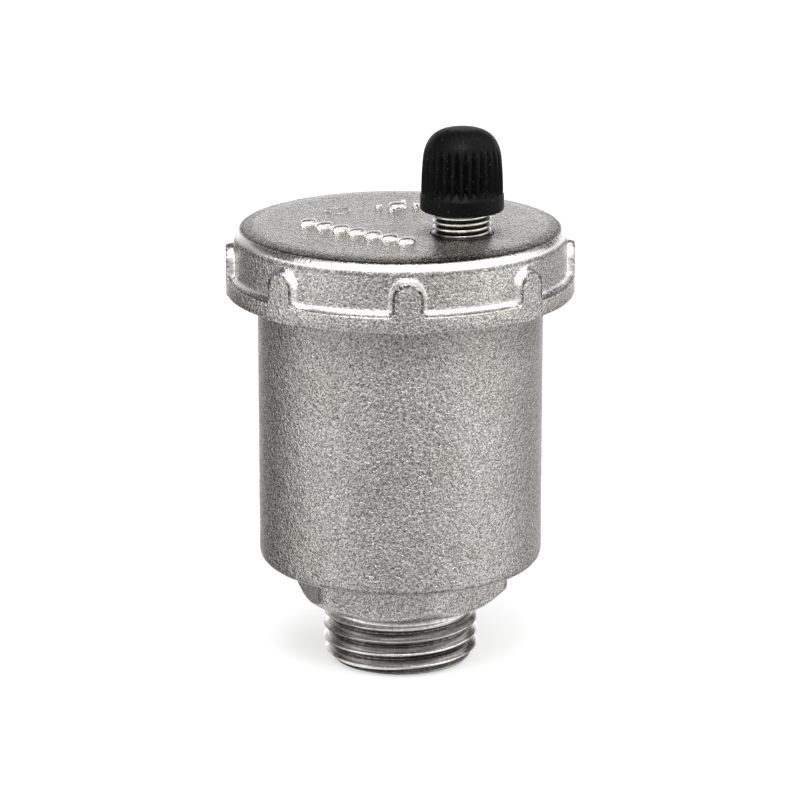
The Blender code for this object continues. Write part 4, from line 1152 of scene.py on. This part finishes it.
# ------------------------------------------------------------------ stage, light and camera

def build_stage():
    bm = bmesh.new()
    bmesh.ops.create_grid(bm, x_segments=1, y_segments=1, size=3.0)
    bmesh.ops.translate(bm, vec=(0, 0, -0.0002), verts=bm.verts)
    n = Nodes("studio_floor")
    pale = n.ramp(n.noise(3.0, 2.0), [(0.3, (0.61, 0.61, 0.61)), (0.7, (0.63, 0.63, 0.63))])
    n.set(colour=pale, rough=0.9, metal=0.0, spec=0.0)
    # mirrored in metal, or looked at from below, the floor lets the studio through
    path = n.add("ShaderNodeLightPath")
    clear = n.add("ShaderNodeBsdfTransparent")
    mix = n.add("ShaderNodeMixShader")
    glow = n.add("ShaderNodeEmission")
    n.link(n.math("MULTIPLY", path.outputs["Is Camera Ray"], 0.52), glow.inputs["Strength"])
    both = n.add("ShaderNodeAddShader")
    n.link(n.shader.outputs[0], both.inputs[0])
    n.link(glow.outputs[0], both.inputs[1])
    under = n.add("ShaderNodeNewGeometry").outputs["Backfacing"]
    n.link(n.math("MAXIMUM", path.outputs["Is Glossy Ray"], under), mix.inputs[0])
    n.link(both.outputs[0], mix.inputs[1])
    n.link(clear.outputs[0], mix.inputs[2])
    n.link(mix.outputs[0], n.tree.nodes["Material Output"].inputs["Surface"])
    solid("studio_floor", bm, [n.mat])


def build_world():
    """Soft studio: pale all round, with broad panels of light and shade the metal can mirror."""
    world = bpy.data.worlds.new("studio")
    bpy.context.scene.world = world
    world.use_nodes = True
    tree = world.node_tree
    tree.nodes.clear()
    new, link = tree.nodes.new, tree.links.new

    def m(op, a, b=None, clamp=False):
        n = new("ShaderNodeMath")
        n.operation, n.use_clamp = op, clamp
        for i, v in enumerate((a, b)):
            if v is None:
                continue
            if isinstance(v, (int, float)):
                n.inputs[i].default_value = v
            else:
                link(v, n.inputs[i])
        return n.outputs[0]

    def ramp(fac, stops):
        n = new("ShaderNodeValToRGB")
        n.color_ramp.interpolation = "LINEAR"
        while len(n.color_ramp.elements) < len(stops):
            n.color_ramp.elements.new(0.5)
        for e, (pos, v) in zip(n.color_ramp.elements, stops):
            e.position, e.color = pos, (v, v, v, 1)
        link(fac, n.inputs["Fac"])
        return n.outputs["Color"]

    def mix(fac, a, b):
        n = new("ShaderNodeMix")
        n.data_type = "RGBA"
        for place, v in ((0, fac), (6, a), (7, b)):
            if isinstance(v, (int, float)):
                n.inputs[place].default_value = v if place == 0 else (v, v, v, 1)
            else:
                link(v, n.inputs[place])
        return n.outputs[2]

    coord = new("ShaderNodeTexCoord").outputs["Generated"]
    split = new("ShaderNodeSeparateXYZ")
    link(coord, split.inputs[0])
    x, y, z = split.outputs
    a = math.radians(CAMERA_AZIMUTH)
    front = m("ADD", m("MULTIPLY", x, math.sin(a)), m("MULTIPLY", y, -math.cos(a)))
    side = m("ADD", m("MULTIPLY", x, math.cos(a)), m("MULTIPLY", y, math.sin(a)))
    turn = m("ADD", m("DIVIDE", m("ARCTAN2", side, front), TAU), 0.5)          # 0.5 is the camera's side
    around = ramp(turn, [((d + 180) / 360, v) for d, v in PANELS])
    lift = m("ADD", m("DIVIDE", m("ARCSINE", z), math.pi), 0.5)                # 0 down, 0.5 level, 1 up
    swung = m("ADD", m("MULTIPLY", front, math.cos(math.radians(SWUNG))),
              m("MULTIPLY", side, math.sin(math.radians(SWUNG))))
    over = m("DIVIDE", m("ARCTAN2", m("MAXIMUM", z, 0.0), swung), math.pi)     # 0 the camera's side, 1 behind
    sky = ramp(over, [(d / 180, v) for d, v in SKY])
    tone = new("ShaderNodeMix")
    tone.data_type, tone.blend_type = "RGBA", "MULTIPLY"
    tone.inputs[0].default_value = 1.0
    link(around, tone.inputs[6])
    link(ramp(lift, [((d + 90) / 180, v / 2) for d, v in HEIGHTS]), tone.inputs[7])
    around = tone.outputs[2]
    twice = new("ShaderNodeMix")
    twice.data_type, twice.blend_type = "RGBA", "ADD"
    twice.inputs[0].default_value = 1.0
    link(around, twice.inputs[6])
    link(around, twice.inputs[7])
    around = twice.outputs[2]
    plus = new("ShaderNodeMix")
    plus.data_type, plus.blend_type = "RGBA", "ADD"
    plus.inputs[0].default_value = 1.0
    link(around, plus.inputs[6])
    link(ramp(lift, [((d + 90) / 180, v) for d, v in GLOW]), plus.inputs[7])
    around = plus.outputs[2]
    high_ = ramp(lift, [(0.0, 0.0), ((6 + 90) / 180, 0.0), ((18 + 90) / 180, 1.0), (1.0, 1.0)])
    below = ramp(lift, [(0.0, 1.0), ((-62 + 90) / 180, 1.0), ((-46 + 90) / 180, 0.0), (1.0, 0.0)])
    seen = mix(high_, around, sky)
    seen = mix(below, seen, UNDER)
    path = new("ShaderNodeLightPath")
    seen = mix(path.outputs["Is Camera Ray"], seen, 1.0)
    back = new("ShaderNodeBackground")
    link(seen, back.inputs["Color"])
    back.inputs["Strength"].default_value = 1.0
    out = new("ShaderNodeOutputWorld")
    link(back.outputs[0], out.inputs["Surface"])


# brightness of the studio's panels by bearing from the camera, in degrees, and by height
PANELS = [(-180, 0.92), (-164, 0.88), (-146, 0.24), (-128, 0.03), (-112, 0.06), (-94, 0.62), (-76, 1.36),
          (-56, 0.78), (-38, 0.40), (0, 0.35), (28, 0.41), (50, 0.78), (70, 1.26), (90, 0.98), (110, 0.56),
          (130, 0.40), (146, 0.56), (162, 0.92), (180, 0.92)]
SKY = [(0, 1.4), (104, 1.4), (119, 0.10), (150, 0.10), (161, 0.70), (180, 0.70)]
HEIGHTS = [(-62, 1.50), (-46, 0.95), (-34, 0.48), (-15.6, 0.88), (-4, 1.34), (8, 1.40)]
GLOW = [(-60, 0.5), (-42, 0.5), (-31, 0.0), (-20, 0.0), (-6, 0.17), (6, 0.36), (14, 0.06)]
SWUNG = 22
UNDER = 0.74


def area(name, azimuth, elevation, distance, size, power, target=(0, 0, 0.04)):
    a, e = math.radians(azimuth), math.radians(elevation)
    back = Vector((math.sin(a) * math.cos(e), -math.cos(a) * math.cos(e), math.sin(e)))
    light = bpy.data.lights.new(name, "AREA")
    light.shape = "RECTANGLE"
    light.size, light.size_y = size
    light.energy = power
    obj = bpy.data.objects.new(name, light)
    bpy.context.collection.objects.link(obj)
    obj.location = Vector(target) + back * distance
    obj.rotation_mode = "QUATERNION"
    obj.rotation_quaternion = (-back).to_track_quat("-Z", "Y")
    return obj


def build_camera():
    a, e = math.radians(CAMERA_AZIMUTH), math.radians(CAMERA_ELEVATION)
    back = Vector((math.sin(a) * math.cos(e), -math.cos(a) * math.cos(e), math.sin(e)))
    cam = bpy.data.cameras.new("camera")
    cam.sensor_width = 36.0
    cam.lens = 3965.0 * 36.0 / 800.0
    cam.shift_x = -0.4 / 800
    cam.shift_y = -7.0 / 800
    cam.clip_start, cam.clip_end = 0.05, 20
    obj = bpy.data.objects.new("camera", cam)
    bpy.context.collection.objects.link(obj)
    obj.location = Vector((0, 0, 0.037)) + back * 0.534
    obj.rotation_mode = "QUATERNION"
    obj.rotation_quaternion = (-back).to_track_quat("-Z", "Y")
    bpy.context.scene.camera = obj


# ------------------------------------------------------------------ put together

build_body()
build_lid()
build_lid_marks()
build_nozzle()
build_cap()
build_seals()
build_valve()
build_spring()
build_bracket()
head_z = low("bracket_screw_1").z
for n_, s_ in (("bracket_screw_1", 1), ("bracket_screw_2", -1)):
    build_screw(n_ + "_turned", n_, "lid_group", 10.05, s_ * 6.7, head_z, 1.9, 1.10, 1.0,
                high(n_).z - head_z, 1)
top_z = high("hanger_screw").z
build_screw("hanger_screw_turned", "hanger_screw", "float", 0, 0, top_z, 1.35, 0.90, 0.75,
            top_z - low("hanger_screw").z, -1)
build_lever()
build_pin("lever_pivot_pin_turned", "lever_pivot_pin", "lid_group", PIVOT.x, PIVOT.z, -4.60, -3.96, 4.00, 4.80)
build_clip("pivot_clip_stamping", "pivot_clip", "lid_group", PIVOT.x, PIVOT.z, 4.00)
build_pin("link_pin_turned", "link_pin", "float", 0, LINK_Z, -2.85, -2.26, 2.30, 3.05)
build_clip("link_clip_stamping", "link_clip", "float", 0, LINK_Z, 2.30)
build_hanger()
build_float()
build_stage()
build_world()
area("key_overhead", CAMERA_AZIMUTH - 6, 56, 0.7, (0.34, 0.20), 2.0)
build_camera()
bpy.context.scene.view_settings.view_transform = "Standard"
bpy.context.scene.view_settings.look = "None"
